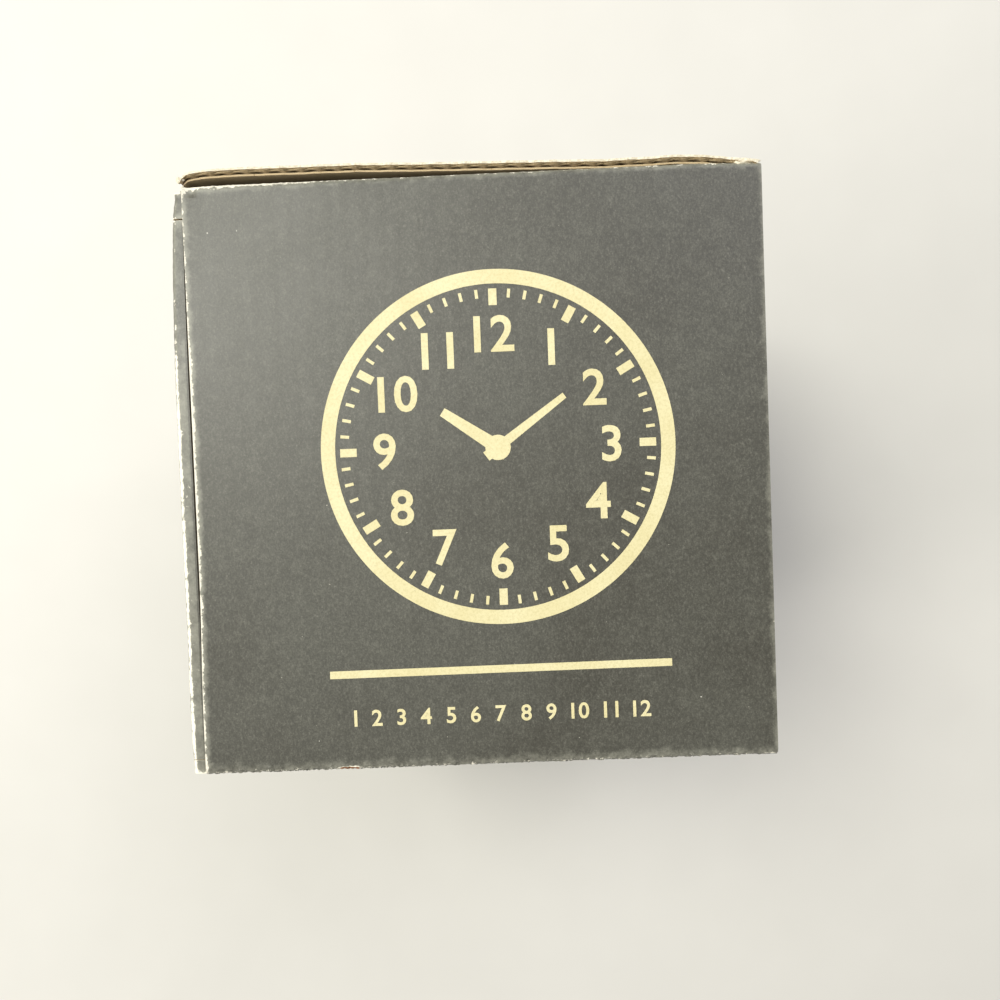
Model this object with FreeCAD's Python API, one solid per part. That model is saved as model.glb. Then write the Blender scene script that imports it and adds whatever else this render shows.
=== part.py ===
import FreeCAD, Part

import math
import os

# Boxed runaway alarm clock: a tuck-end carton of fluted board with its lid up (+Z), and inside it, held by
# two board inserts, the clock on two wheels, packed with its axle upright. Millimetres. The origin is the
# centre of the carton's resting face, +X is to the right and the lid's fold is at the front (-Y).

# ---------------------------------------------------------------- driving dimensions: the clock
WHEEL_RADIUS = 44.5
WHEEL_WIDTH = 26.0
WHEEL_GAP = 1.5              # between a wheel and the end cap beside it
TYRE_DEPTH = 9.5             # from the rim's outside to the tread
TYRE_SHOULDER = 3.5
TREAD_GROOVE_WIDTH = 2.0
TREAD_GROOVE_DEPTH = 1.5
TREAD_GROOVE_OFFSET = 4.0    # from the tyre's middle to a groove's middle
TREAD_LUGS = 24
TREAD_SLOT_WIDTH = 2.4

RIM_WALL = 2.5
RIM_SETBACK = 1.0            # from the tyre's side to the rim's edge
HUB_WEB = 3.0
HUB_BOSS_RADIUS = 7.0
HUB_BOSS_DEPTH = 19.5
HUB_SPOKES = 6
HUB_RING = 4.0               # web left beside the rim
HUB_COLLAR = 4.5             # web left round the boss
SPOKE_WIDTH = 7.0
SPOKE_RIB = 2.2
SPOKE_RIB_PROUD = 2.5
CAP_BADGE_RADIUS = 9.0
CAP_BADGE_THICKNESS = 2.0
CAP_BADGE_ROUND = 1.2
CAP_PLUG_RADIUS = 5.0
CAP_PLUG_DEPTH = 2.5

DRUM_RADIUS = 31.0
DRUM_WALL = 2.0
DRUM_LENGTH = 66.0
DRUM_FLAT = 28.0             # from the axle to the flat front face
CAP_DEPTH = 6.0
CAP_ROUND = 6.0
CAP_LIP = 1.0
CAP_LIP_DEPTH = 1.5

SCREW_DISTANCE = 22.5        # from the axle to each end cap screw
SCREW_ANGLES = (90.0, 210.0, 330.0)
SCREW_RADIUS = 1.2
SCREW_HEAD_RADIUS = 2.2
SCREW_HEAD_DEPTH = 1.0
SCREW_LENGTH = 8.0
SCREW_BOSS_RADIUS = 3.0
SCREW_BOSS_LENGTH = 5.8
SCREW_SLOT_WIDTH = 0.6
SCREW_SLOT_DEPTH = 0.5
BOSS_SINK = 0.5              # how far a boss runs into the wall behind it

# ---------------------------------------------------------------- driving dimensions: the drive
MODULE = 0.5
PINION_TEETH = 10
GEAR_TEETH = 40
PRESSURE_ANGLE = math.radians(25.0)
ADDENDUM = 0.8               # stub teeth, in modules
DEDENDUM = 1.05
BACKLASH = 0.08
FLANK_STEPS = 3
GEAR_WIDTH = 2.4
GEAR_GAP = 0.4
MOTOR_ANGLE = 45.0           # where the motor and the second gear stand round the axle
SECOND_GEAR_ANGLE = 135.0
AXLE_RADIUS = 2.5
ARBOR_RADIUS = 1.0
RUNNING_FIT = 0.05
OUTPUT_GAP = 1.1             # from the output gear to the bush
COLLAR_GAP = 0.2
BUSH_RADIUS = 4.0
BUSH_FLANGE_RADIUS = 5.2
BUSH_FLANGE = 0.8
BUSH_PROUD = 0.5
GEAR_PLATE = 1.5
GEAR_PLATE_RADIUS = 24.3
GEAR_PLATE_FLAT = 12.5       # from the axle to the plate's straight front edge
PLATE_POST_RADIUS = 1.8
PLATE_POSTS = ((15.0, -5.0), (-15.0, -5.0), (6.5, 19.0))
MOTOR_RADIUS = 7.75
MOTOR_FLAT = 6.0
MOTOR_LENGTH = 20.0
MOTOR_BOSS_RADIUS = 3.0
MOTOR_BOSS = 1.0
MOTOR_BORE_DEPTH = 17.0
MOTOR_SHAFT_RADIUS = 0.75

# ---------------------------------------------------------------- driving dimensions: inside the drum
CELL_RADIUS = 5.25
CELL_LENGTH = 44.5
CELL_NUB = 1.2
CELL_NUB_RADIUS = 1.9
CELL_SPACING = 0.1
CONTACT_PLATE = 0.4
CONTACT_RUN = 0.95           # from a contact's plate to the cell
CONTACT_BUMP_RADIUS = 2.0
CELL_SIDE_GAP = 0.3
TRAY_WALL = 1.2
TRAY_TOP = 4.5               # from the axle down to the tray's closed side
DOOR_LAP = 0.8               # the door over the tray's side walls
DOOR_SEAT = 0.15
DOOR_GRIP_RIDGES = 4
DOOR_GRIP_PITCH = 2.2
DOOR_GRIP_WIDTH = 1.0
DOOR_GRIP_LENGTH = 12.0
DOOR_GRIP_DEPTH = 0.5
DOOR_GRIP_INSET = 5.0
SHELL_FIT = 0.1              # between the drum's inside and what slips into it
CHASSIS_PLATE = 1.5
SADDLE_HEIGHT = 8.0
SADDLE_INSET = 3.0
SADDLE_MARGIN = 0.5
SNOOZE_POST = 6.0
FRONT_FIN_Z = 23.6
REAR_FIN_Z = 11.0
FIN_THICKNESS = 2.0
FRONT_FIN_DEPTH = 3.0
BOARD_THICKNESS = 1.6        # circuit boards
MAIN_BOARD_WIDTH = 30.0
MAIN_BOARD_LENGTH = 60.0
GLASS_WIDTH = 21.0
GLASS_LENGTH = 52.0
GLASS_THICKNESS = 2.0
GLASS_CLEARANCE = 0.2
BACKLIGHT_THICKNESS = 4.8
BACKLIGHT_INSET = 0.5
BEZEL_LIP = 1.0
BEZEL_CORNER = 2.5
BEZEL_EDGE = 0.4
BEZEL_LIP_WIDTH = 24.8
BEZEL_LIP_LENGTH = 58.0
BEZEL_NECK_WIDTH = 22.0
BEZEL_NECK_LENGTH = 54.0
WINDOW_WIDTH = 17.0
WINDOW_LENGTH = 46.0
LENS_THICKNESS = 1.4
LENS_RECESS = 0.5
SOUNDER_RADIUS = 8.0
SOUNDER_HEIGHT = 7.0
SOUNDER_X = 11.0
SOUNDER_Z = 14.0
SOUND_HOLE_RADIUS = 0.9
HOLE_OVERRUN = 2.0            # how far a cutting rod runs past both sides of the wall
SOUND_HOLE_PITCH = 3.4
SOUND_HOLE_ROWS = 3
SOUND_HOLE_COLUMNS = 5
SOUND_HOLE_ANGLE = -38.0
REAR_BOARD_WIDTH = 20.0
REAR_BOARD_LENGTH = 44.0
REAR_BOARD_Y = 22.5

# ---------------------------------------------------------------- driving dimensions: controls
CONTROL_GAP = 0.3
PRESS_MARGIN = 0.1           # left between a pressed control and its switch
FLANGE_GAP = 0.35
SNOOZE_LENGTH = 30.0
SNOOZE_WIDTH = 9.0
SNOOZE_PROUD = 2.0
SNOOZE_TRAVEL = 1.2
SNOOZE_FLANGE = 1.4
FLANGE_LAP = 1.2
SET_BUTTON_RADIUS = 2.6
SET_BUTTON_PITCH = 10.0
SET_BUTTON_X = 4.0
SET_BUTTON_PROUD = 1.0
SET_BUTTON_FLANGE = 0.9
SET_BUTTON_TRAVEL = 0.8
SET_BUTTON_NAMES = ("time_button", "alarm_button", "hour_button", "minute_button")
SWITCH_SIZE = 6.0
SNOOZE_SWITCH_HEIGHT = 3.4
SWITCH_SPACING = 0.4
SET_FLANGE_LAP = 0.8
SLIDER_LENGTH = 5.0
SLIDER_WIDTH = 3.0
SLIDER_X = -6.0
SLIDER_PROUD = 1.3
SLIDER_TRAVEL = 4.0
SLIDER_BASE = 1.2
SLIDER_BASE_MARGIN = 1.5

# ---------------------------------------------------------------- driving dimensions: the carton
BOARD = 1.5
HEADROOM = 1.5               # from the upper wheel to the dust flaps
SEAT_CLEARANCE = 1.0         # round a wheel in its insert
INSERT_RIM_SIDE = 5.95       # narrowest board beside a wheel's hole, left and right
INSERT_RIM_END = 7.95        # the same, front and back
INSERT_FIT = 0.3
LOWER_INSERT_HEIGHT = 21.0
UPPER_INSERT_DROP = 24.0     # from the carton's top to the upper insert
UPPER_LEG_INSET = 9.0
LID_STRIP = 3.2              # width of the left fold that the lid leaves bare
LID_SIDE_GAP = 0.2
TUCK_GAP = 1.5
TUCK_DEPTH = 20.0
TUCK_LEAN = 8.0
TUCK_SIDE_INSET = 2.5
TUCK_TAPER = 2.5
TUCK_CORNER = 7.0
BACK_EDGE_DROP = 0.3
DUST_LENGTH = 38.0
DUST_FRONT_INSET = 3.0
DUST_REAR_INSET = 9.0
DUST_FRONT_TAPER = 17.0
DUST_REAR_TAPER = 7.0
DUST_CORNER = 4.0
SIDE_FLAP_LENGTH = 40.0
SIDE_FLAP_INSET = 3.0
SIDE_FLAP_TAPER = 6.0
BOTTOM_FLAP_TRIM = 0.5
GLUE_TAB_WIDTH = 22.0
GLUE_TAB_INSET = 9.0
GLUE_TAB_TAPER = 6.0
LEAFLET_WIDTH = 70.0
LEAFLET_HEIGHT = 72.0
LEAFLET_LEAF = 0.3
LEAFLET_LEAVES = 4

# ---------------------------------------------------------------- derived places: the clock
# The clock's own frame has its centre at the middle of the axle. The axle is Z, the display faces -Y and
# the clock's top is +X.
DRUM_END = DRUM_LENGTH / 2
CAP_FACE = DRUM_END + CAP_DEPTH
WHEEL_INNER = CAP_FACE + WHEEL_GAP
WHEEL_OUTER = WHEEL_INNER + WHEEL_WIDTH
WHEEL_MIDDLE = (WHEEL_INNER + WHEEL_OUTER) / 2
RIM_RADIUS = WHEEL_RADIUS - TYRE_DEPTH
INNER_RADIUS = DRUM_RADIUS - DRUM_WALL
INNER_FLAT = DRUM_FLAT - DRUM_WALL
CAP_INSIDE = CAP_FACE - DRUM_WALL
CENTRE_DISTANCE = MODULE * (PINION_TEETH + GEAR_TEETH) / 2
GEAR_TIP = MODULE * GEAR_TEETH / 2 + ADDENDUM * MODULE
LAYER_3 = CAP_INSIDE - BUSH_FLANGE - OUTPUT_GAP - GEAR_WIDTH
LAYER_2 = LAYER_3 - GEAR_GAP - GEAR_WIDTH
LAYER_1 = LAYER_2 - GEAR_GAP - GEAR_WIDTH
PLATE_OUTER = LAYER_1 - GEAR_GAP
PLATE_INNER = PLATE_OUTER - GEAR_PLATE
MOTOR_END = PLATE_INNER - MOTOR_LENGTH
TRAY_LENGTH = CELL_LENGTH + 2 * (CONTACT_RUN + CONTACT_PLATE + TRAY_WALL)
TRAY_HALF_WIDTH = 2 * CELL_RADIUS + CELL_SPACING + CELL_SIDE_GAP + TRAY_WALL
CELL_Y = CELL_RADIUS + CELL_SPACING
CELL_X_INNER = -(TRAY_TOP + TRAY_WALL + CELL_RADIUS + CELL_SPACING / 2)
CELL_X_OUTER = CELL_X_INNER - 2 * CELL_RADIUS - CELL_SPACING
CHASSIS_TOP = -(TRAY_TOP - CHASSIS_PLATE)
GLASS_FRONT = -(INNER_FLAT - GLASS_CLEARANCE)
GLASS_BACK = GLASS_FRONT + GLASS_THICKNESS
MAIN_BOARD_FRONT = GLASS_BACK + BACKLIGHT_THICKNESS
MAIN_BOARD_BACK = MAIN_BOARD_FRONT + BOARD_THICKNESS
REAR_BOARD_BACK = REAR_BOARD_Y + BOARD_THICKNESS
SNOOZE_FLANGE_HALF = SNOOZE_WIDTH / 2 + FLANGE_LAP
SNOOZE_FLANGE_TOP = math.sqrt(INNER_RADIUS ** 2 - SNOOZE_FLANGE_HALF ** 2) - FLANGE_GAP
SNOOZE_FLANGE_BOTTOM = SNOOZE_FLANGE_TOP - SNOOZE_FLANGE
SNOOZE_SWITCH_TOP = SNOOZE_FLANGE_BOTTOM - SNOOZE_TRAVEL - PRESS_MARGIN
SNOOZE_POST_TOP = SNOOZE_SWITCH_TOP - SNOOZE_SWITCH_HEIGHT
SET_FLANGE_RADIUS = SET_BUTTON_RADIUS + SET_FLANGE_LAP
SET_FLANGE_TOP = math.sqrt(INNER_RADIUS ** 2 - (abs(SET_BUTTON_X) + SET_FLANGE_RADIUS) ** 2) - FLANGE_GAP
SET_FLANGE_BOTTOM = SET_FLANGE_TOP - SET_BUTTON_FLANGE
SET_SWITCH_TOP = SET_FLANGE_BOTTOM - SET_BUTTON_TRAVEL - PRESS_MARGIN
SLIDER_BASE_HALF = SLIDER_WIDTH / 2 + SLIDER_BASE_MARGIN
SLIDER_BASE_TOP = math.sqrt(INNER_RADIUS ** 2 - (abs(SLIDER_X) + SLIDER_BASE_HALF) ** 2) - FLANGE_GAP
SLIDER_BASE_BOTTOM = SLIDER_BASE_TOP - SLIDER_BASE

# ---------------------------------------------------------------- derived places: the carton
SEAT_RADIUS = WHEEL_RADIUS + SEAT_CLEARANCE
INSERT_HALF_X = SEAT_RADIUS + INSERT_RIM_SIDE
INSERT_HALF_Y = SEAT_RADIUS + INSERT_RIM_END
WIDTH = 2 * (INSERT_HALF_X + INSERT_FIT) + 3 * BOARD
DEPTH = 2 * (INSERT_HALF_Y + INSERT_FIT) + 2 * BOARD
CLOCK_LENGTH = 2 * WHEEL_OUTER
HEIGHT = 3 * BOARD + CLOCK_LENGTH + HEADROOM + 2 * BOARD
LEFT = -WIDTH / 2
RIGHT = WIDTH / 2
FRONT = -DEPTH / 2
BACK = DEPTH / 2
FLOOR = 3 * BOARD
PACK_X = BOARD / 2           # the glue tab thickens the left side
CLOCK_Z = FLOOR + CLOCK_LENGTH / 2
LID_LEFT = LEFT + LID_STRIP
LID_RIGHT = RIGHT - LID_SIDE_GAP
TUCK_Y = BACK - BOARD - TUCK_GAP
DUST_TOP = HEIGHT - BOARD
LOWER_TOP = FLOOR + LOWER_INSERT_HEIGHT
UPPER_TOP = HEIGHT - UPPER_INSERT_DROP
FULL_FOLD = BOARD            # mitre of a square fold
TUCK_FOLD = BOARD * math.tan(math.radians((90.0 + TUCK_LEAN) / 2))

X_AXIS = FreeCAD.Vector(1, 0, 0)
Y_AXIS = FreeCAD.Vector(0, 1, 0)
Z_AXIS = FreeCAD.Vector(0, 0, 1)
NODES = {}


# ---------------------------------------------------------------- shared shapes
def point(x, y, z):
    """A point in space."""
    return FreeCAD.Vector(x, y, z)


def block(x_range, y_range, z_range):
    """A box between the two ends of each range."""
    size = [high - low for low, high in (x_range, y_range, z_range)]
    return Part.makeBox(*size, point(x_range[0], y_range[0], z_range[0]))


def centred(half):
    """The range from minus half to plus half."""
    return (-half, half)


def disc(radius, z_low, z_high, x=0.0, y=0.0):
    """An upright cylinder between two heights."""
    return Part.makeCylinder(radius, z_high - z_low, point(x, y, z_low), Z_AXIS)


def tube(outer, inner, z_low, z_high, x=0.0, y=0.0):
    """An upright tube between two heights."""
    return disc(outer, z_low, z_high, x, y).cut(disc(inner, z_low - 1, z_high + 1, x, y))


def rod(radius, start, direction, length):
    """A cylinder from a point along a direction."""
    return Part.makeCylinder(radius, length, start, direction)


def joined(shapes):
    """One solid from touching shapes."""
    return shapes[0].multiFuse(shapes[1:]).removeSplitter()


def polar(radius, degrees):
    """The plan point at a radius and an angle."""
    angle = math.radians(degrees)
    return radius * math.cos(angle), radius * math.sin(angle)


def mirrored(shape):
    """The same shape on the clock's other side."""
    return shape.mirror(point(0, 0, 0), Z_AXIS)


def rounded(shape, radius, wanted):
    """The shape with a fillet on each edge that the test picks by its middle and direction."""
    edges = []
    for edge in shape.Edges:
        middle = edge.valueAt((edge.FirstParameter + edge.LastParameter) / 2)
        ends = [vertex.Point for vertex in edge.Vertexes]
        run = (ends[-1] - ends[0]) if len(ends) == 2 else point(0, 0, 0)
        if wanted(middle, run):
            edges.append(edge)
    return shape.makeFillet(radius, edges)


def along(run, axis):
    """Whether an edge's run is parallel to an axis."""
    return run.Length > 0.01 and abs(abs(run.dot(axis)) - run.Length) < 1e-6


def save(name, shape):
    """Keeps a finished node."""
    NODES[name] = shape


# ---------------------------------------------------------------- board panels
def inset_outline(outline, insets):
    """The outline with each edge moved inwards by its own inset."""
    lines = []
    count = len(outline)
    for i in range(count):
        (u0, v0), (u1, v1) = outline[i], outline[(i + 1) % count]
        length = math.hypot(u1 - u0, v1 - v0)
        normal_u, normal_v = -(v1 - v0) / length, (u1 - u0) / length
        offset = normal_u * u0 + normal_v * v0 + insets[i]
        lines.append((normal_u, normal_v, offset))
    corners = []
    for i in range(count):
        (a0, b0, c0), (a1, b1, c1) = lines[i - 1], lines[i]
        scale = a0 * b1 - a1 * b0
        corners.append(((c0 * b1 - c1 * b0) / scale, (a0 * c1 - a1 * c0) / scale))
    return corners


def panel(outline, insets, origin, u_axis, v_axis):
    """A board panel whose outer face has the outline, given anticlockwise, and whose folded edges are mitred.

    The outline lies in the plane of the two axes, and the board's thickness goes inwards from it.
    """
    normal = u_axis.cross(v_axis)
    inner = inset_outline(outline, insets)
    outer_points = [origin + u_axis * u + v_axis * v for u, v in outline]
    inner_points = [origin + u_axis * u + v_axis * v - normal * BOARD for u, v in inner]
    rings = [outer_points, inner_points]
    count = len(outline)
    for i in range(count):
        j = (i + 1) % count
        rings.append([outer_points[i], outer_points[j], inner_points[j], inner_points[i]])
    shell = Part.Shell([Part.Face(Part.makePolygon(ring + ring[:1])) for ring in rings])
    shell.sewShape()
    solid = Part.Solid(shell)
    if solid.Volume < 0:
        solid.reverse()
    return solid


def rectangle(width, height):
    """A rectangle's outline from its lower left corner."""
    return [(0, 0), (width, 0), (width, height), (0, height)]


def flap_outline(root, length, first_taper, second_taper):
    """A flap's outline: its root is the first edge, and each side leans in by its taper."""
    return [(0, 0), (root, 0), (root - second_taper, length), (first_taper, length)]


# ---------------------------------------------------------------- the carton
def carton_walls():
    """The four walls and the glue tab, folded round as a sleeve."""
    front = panel(rectangle(WIDTH, HEIGHT), (FULL_FOLD,) * 4, point(LEFT, FRONT, 0), X_AXIS, Z_AXIS)
    back_height = HEIGHT - BACK_EDGE_DROP - BOARD
    back = panel(rectangle(WIDTH - BOARD, back_height), (FULL_FOLD, FULL_FOLD, 0, FULL_FOLD),
                 point(RIGHT, BACK, BOARD), -X_AXIS, Z_AXIS)
    side_height = DUST_TOP - 2 * BOARD
    left = panel(rectangle(DEPTH, side_height), (FULL_FOLD, FULL_FOLD, FULL_FOLD, 0),
                 point(LEFT, BACK, 2 * BOARD), -Y_AXIS, Z_AXIS)
    right = panel(rectangle(DEPTH, side_height), (FULL_FOLD,) * 4,
                  point(RIGHT, FRONT, 2 * BOARD), Y_AXIS, Z_AXIS)
    save("carton_front_panel", front)
    save("carton_back_panel", back)
    save("carton_left_panel", left)
    save("carton_right_panel", right)

    tab_height = HEIGHT - 2 * GLUE_TAB_INSET
    tab_outline = [(0, 0), (GLUE_TAB_WIDTH, GLUE_TAB_TAPER),
                   (GLUE_TAB_WIDTH, tab_height - GLUE_TAB_TAPER), (0, tab_height)]
    tab = panel(tab_outline, (0, 0, 0, FULL_FOLD), point(LEFT + BOARD, BACK, GLUE_TAB_INSET),
                -Y_AXIS, Z_AXIS)
    save("carton_glue_tab", tab)


def carton_bottom():
    """The glued bottom: an outer flap, an inner flap over it and two side flaps on top."""
    flap_width = WIDTH - 2 * BOTTOM_FLAP_TRIM
    outer = panel(rectangle(flap_width, DEPTH), (0, 0, FULL_FOLD, 0),
                  point(LEFT + BOTTOM_FLAP_TRIM, BACK, 0), X_AXIS, -Y_AXIS)
    inner_depth = DEPTH - BOARD - BOTTOM_FLAP_TRIM
    inner = panel(rectangle(flap_width, inner_depth), (FULL_FOLD, 0, 0, 0),
                  point(LEFT + BOTTOM_FLAP_TRIM, BACK, BOARD), X_AXIS, -Y_AXIS)
    root = DEPTH - 2 * SIDE_FLAP_INSET
    outline = flap_outline(root, SIDE_FLAP_LENGTH, SIDE_FLAP_TAPER, SIDE_FLAP_TAPER)
    left = panel(outline, (FULL_FOLD, 0, 0, 0), point(LEFT, FRONT + SIDE_FLAP_INSET, 2 * BOARD),
                 Y_AXIS, X_AXIS)
    right = panel(outline, (FULL_FOLD, 0, 0, 0), point(RIGHT, BACK - SIDE_FLAP_INSET, 2 * BOARD),
                  -Y_AXIS, -X_AXIS)
    save("bottom_outer_flap", outer)
    save("bottom_inner_flap", inner)
    save("bottom_side_flaps", Part.makeCompound([left, right]))


def carton_lid():
    """The lid panel, and its tuck flap leaning into the carton behind the dust flaps."""
    lid_width = LID_RIGHT - LID_LEFT
    lid = panel(rectangle(lid_width, TUCK_Y - FRONT), (FULL_FOLD, 0, TUCK_FOLD, 0),
                point(LID_LEFT, FRONT, HEIGHT), X_AXIS, Y_AXIS)
    save("lid_panel", lid)

    tuck_width = lid_width - 2 * TUCK_SIDE_INSET
    tuck = panel(flap_outline(tuck_width, TUCK_DEPTH, TUCK_TAPER, TUCK_TAPER), (TUCK_FOLD, 0, 0, 0),
                 point(LID_LEFT + TUCK_SIDE_INSET, TUCK_Y, HEIGHT), X_AXIS, -Z_AXIS)
    corner_height = HEIGHT - TUCK_DEPTH
    tuck = rounded(tuck, TUCK_CORNER,
                   lambda middle, run: along(run, Y_AXIS) and abs(middle.z - corner_height) < 0.01)
    tuck.rotate(point(0, TUCK_Y, HEIGHT), X_AXIS, -TUCK_LEAN)
    save("lid_tuck_flap", tuck)


def dust_flaps():
    """The two flaps under the lid, hinged on the left and right walls."""
    root = DEPTH - DUST_FRONT_INSET - DUST_REAR_INSET
    tip = DUST_LENGTH
    left = panel(flap_outline(root, tip, DUST_REAR_TAPER, DUST_FRONT_TAPER), (FULL_FOLD, 0, 0, 0),
                 point(LEFT, BACK - DUST_REAR_INSET, DUST_TOP), -Y_AXIS, X_AXIS)
    right = panel(flap_outline(root, tip, DUST_FRONT_TAPER, DUST_REAR_TAPER), (FULL_FOLD, 0, 0, 0),
                  point(RIGHT, FRONT + DUST_FRONT_INSET, DUST_TOP), Y_AXIS, -X_AXIS)
    left_tip = LEFT + DUST_LENGTH
    right_tip = RIGHT - DUST_LENGTH
    left = rounded(left, DUST_CORNER,
                   lambda middle, run: along(run, Z_AXIS) and abs(middle.x - left_tip) < 0.01)
    right = rounded(right, DUST_CORNER,
                    lambda middle, run: along(run, Z_AXIS) and abs(middle.x - right_tip) < 0.01)
    save("dust_flap_left", left)
    save("dust_flap_right", right)


def inserts():
    """The lower insert stands on the bottom flaps, and the upper one bridges over it on two legs."""
    x_range = (PACK_X - INSERT_HALF_X, PACK_X + INSERT_HALF_X)
    y_range = centred(INSERT_HALF_Y)
    seat = disc(SEAT_RADIUS, 0, HEIGHT, PACK_X)

    lower = block(x_range, y_range, (FLOOR, LOWER_TOP))
    hollow = block((x_range[0] + BOARD, x_range[1] - BOARD), centred(INSERT_HALF_Y - BOARD),
                   (FLOOR - 1, LOWER_TOP - BOARD))
    save("lower_insert", lower.cut(hollow).cut(seat))

    bridge = block(x_range, y_range, (UPPER_TOP - BOARD, UPPER_TOP))
    leg_range = centred(INSERT_HALF_Y - UPPER_LEG_INSET)
    left_leg = block((x_range[0], x_range[0] + BOARD), leg_range, (LOWER_TOP, UPPER_TOP))
    right_leg = block((x_range[1] - BOARD, x_range[1]), leg_range, (LOWER_TOP, UPPER_TOP))
    save("upper_insert", joined([bridge.cut(seat), left_leg, right_leg]))


def leaflet():
    """The folded instruction leaflet, standing on the lower insert against the back wall."""
    leaves = []
    for i in range(LEAFLET_LEAVES):
        back_face = BACK - BOARD - INSERT_FIT - i * LEAFLET_LEAF
        leaves.append(block(centred(LEAFLET_WIDTH / 2), (back_face - LEAFLET_LEAF, back_face),
                            (LOWER_TOP, LOWER_TOP + LEAFLET_HEIGHT - i * LEAFLET_LEAF)))
    sheet = joined(leaves)
    sheet.translate(point(PACK_X, 0, 0))
    save("instruction_leaflet", sheet)


# ---------------------------------------------------------------- gears
def involute(angle):
    """The involute function."""
    return math.tan(angle) - angle


def gear(teeth, z_low, phase, x=0.0, y=0.0):
    """A toothed disc one gear width thick, with a tooth's middle at the phase angle, in degrees."""
    pitch = MODULE * teeth / 2
    base = pitch * math.cos(PRESSURE_ANGLE)
    tip = pitch + ADDENDUM * MODULE
    root = pitch - DEDENDUM * MODULE
    half_tooth = (math.pi * MODULE / 2 - BACKLASH) / (2 * pitch)
    low = max(base, root)
    flank = []
    for i in range(FLANK_STEPS + 1):
        radius = low + (tip - low) * i / FLANK_STEPS
        pressure = math.acos(min(1.0, base / radius))
        flank.append((radius, half_tooth + involute(PRESSURE_ANGLE) - involute(pressure)))
    if root < base:
        flank.insert(0, (root, flank[0][1]))
    ring = []
    for tooth in range(teeth):
        middle = math.radians(phase) + 2 * math.pi * tooth / teeth
        for radius, spread in flank:
            ring.append((radius, middle - spread))
        for radius, spread in reversed(flank):
            ring.append((radius, middle + spread))
    points = [point(x + r * math.cos(a), y + r * math.sin(a), z_low) for r, a in ring]
    face = Part.Face(Part.makePolygon(points + points[:1]))
    return face.extrude(Z_AXIS * GEAR_WIDTH)


def bored(shape, radius, x=0.0, y=0.0):
    """The shape with an upright hole through all its layers."""
    return shape.cut(disc(radius, PLATE_INNER - 1, CAP_FACE + 1, x, y))


def gear_train():
    """One side's drive, from the motor's pinion over two compound gears to the wheel's axle."""
    half_pitch = 180.0 / GEAR_TEETH
    motor_x, motor_y = polar(CENTRE_DISTANCE, MOTOR_ANGLE)
    second_x, second_y = polar(CENTRE_DISTANCE, SECOND_GEAR_ANGLE)

    shaft = disc(MOTOR_SHAFT_RADIUS, PLATE_INNER - MOTOR_BORE_DEPTH + 1, LAYER_1 + GEAR_WIDTH,
                 motor_x, motor_y)
    pinion = gear(PINION_TEETH, LAYER_1, MOTOR_ANGLE + 180, motor_x, motor_y)
    rotor = joined([pinion, shaft])

    wheel_1 = gear(GEAR_TEETH, LAYER_1, MOTOR_ANGLE + half_pitch)
    pinion_1 = gear(PINION_TEETH, LAYER_2, SECOND_GEAR_ANGLE)
    collar_1 = disc(AXLE_RADIUS - DEDENDUM * MODULE, LAYER_1, LAYER_2 + GEAR_WIDTH)
    first = bored(joined([wheel_1, collar_1, pinion_1]), ARBOR_RADIUS + RUNNING_FIT)

    wheel_2 = gear(GEAR_TEETH, LAYER_2, SECOND_GEAR_ANGLE + 180 + half_pitch, second_x, second_y)
    pinion_2 = gear(PINION_TEETH, LAYER_3, SECOND_GEAR_ANGLE + 180, second_x, second_y)
    collar_radius = CENTRE_DISTANCE - GEAR_TIP - COLLAR_GAP
    collar_2 = disc(collar_radius, PLATE_OUTER + RUNNING_FIT, LAYER_3 + GEAR_WIDTH, second_x, second_y)
    second = bored(joined([wheel_2, collar_2, pinion_2]), ARBOR_RADIUS + RUNNING_FIT, second_x, second_y)

    output = bored(gear(GEAR_TEETH, LAYER_3, SECOND_GEAR_ANGLE + half_pitch), AXLE_RADIUS)
    return {"motor_rotor": rotor, "first_gear": first, "second_gear": second, "output_gear": output}


def gear_carrier():
    """The plate behind the gears, the second gear's pin and the axle's bush."""
    motor_x, motor_y = polar(CENTRE_DISTANCE, MOTOR_ANGLE)
    second_x, second_y = polar(CENTRE_DISTANCE, SECOND_GEAR_ANGLE)
    plate = disc(GEAR_PLATE_RADIUS, PLATE_INNER, PLATE_OUTER)
    straight = block(centred(DRUM_RADIUS), (-GEAR_PLATE_FLAT, DRUM_RADIUS), (PLATE_INNER, PLATE_OUTER))
    plate = plate.common(straight)
    plate = bored(plate, ARBOR_RADIUS + RUNNING_FIT)
    plate = bored(plate, MOTOR_BOSS_RADIUS + RUNNING_FIT, motor_x, motor_y)
    plate = bored(plate, ARBOR_RADIUS, second_x, second_y)
    pin = disc(ARBOR_RADIUS, PLATE_INNER, CAP_INSIDE, second_x, second_y)
    bush = joined([disc(BUSH_RADIUS, CAP_INSIDE, CAP_FACE + BUSH_PROUD),
                   disc(BUSH_FLANGE_RADIUS, CAP_INSIDE - BUSH_FLANGE, CAP_INSIDE)])
    bush = bored(bush, AXLE_RADIUS + RUNNING_FIT)
    return plate, pin, bush


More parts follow.
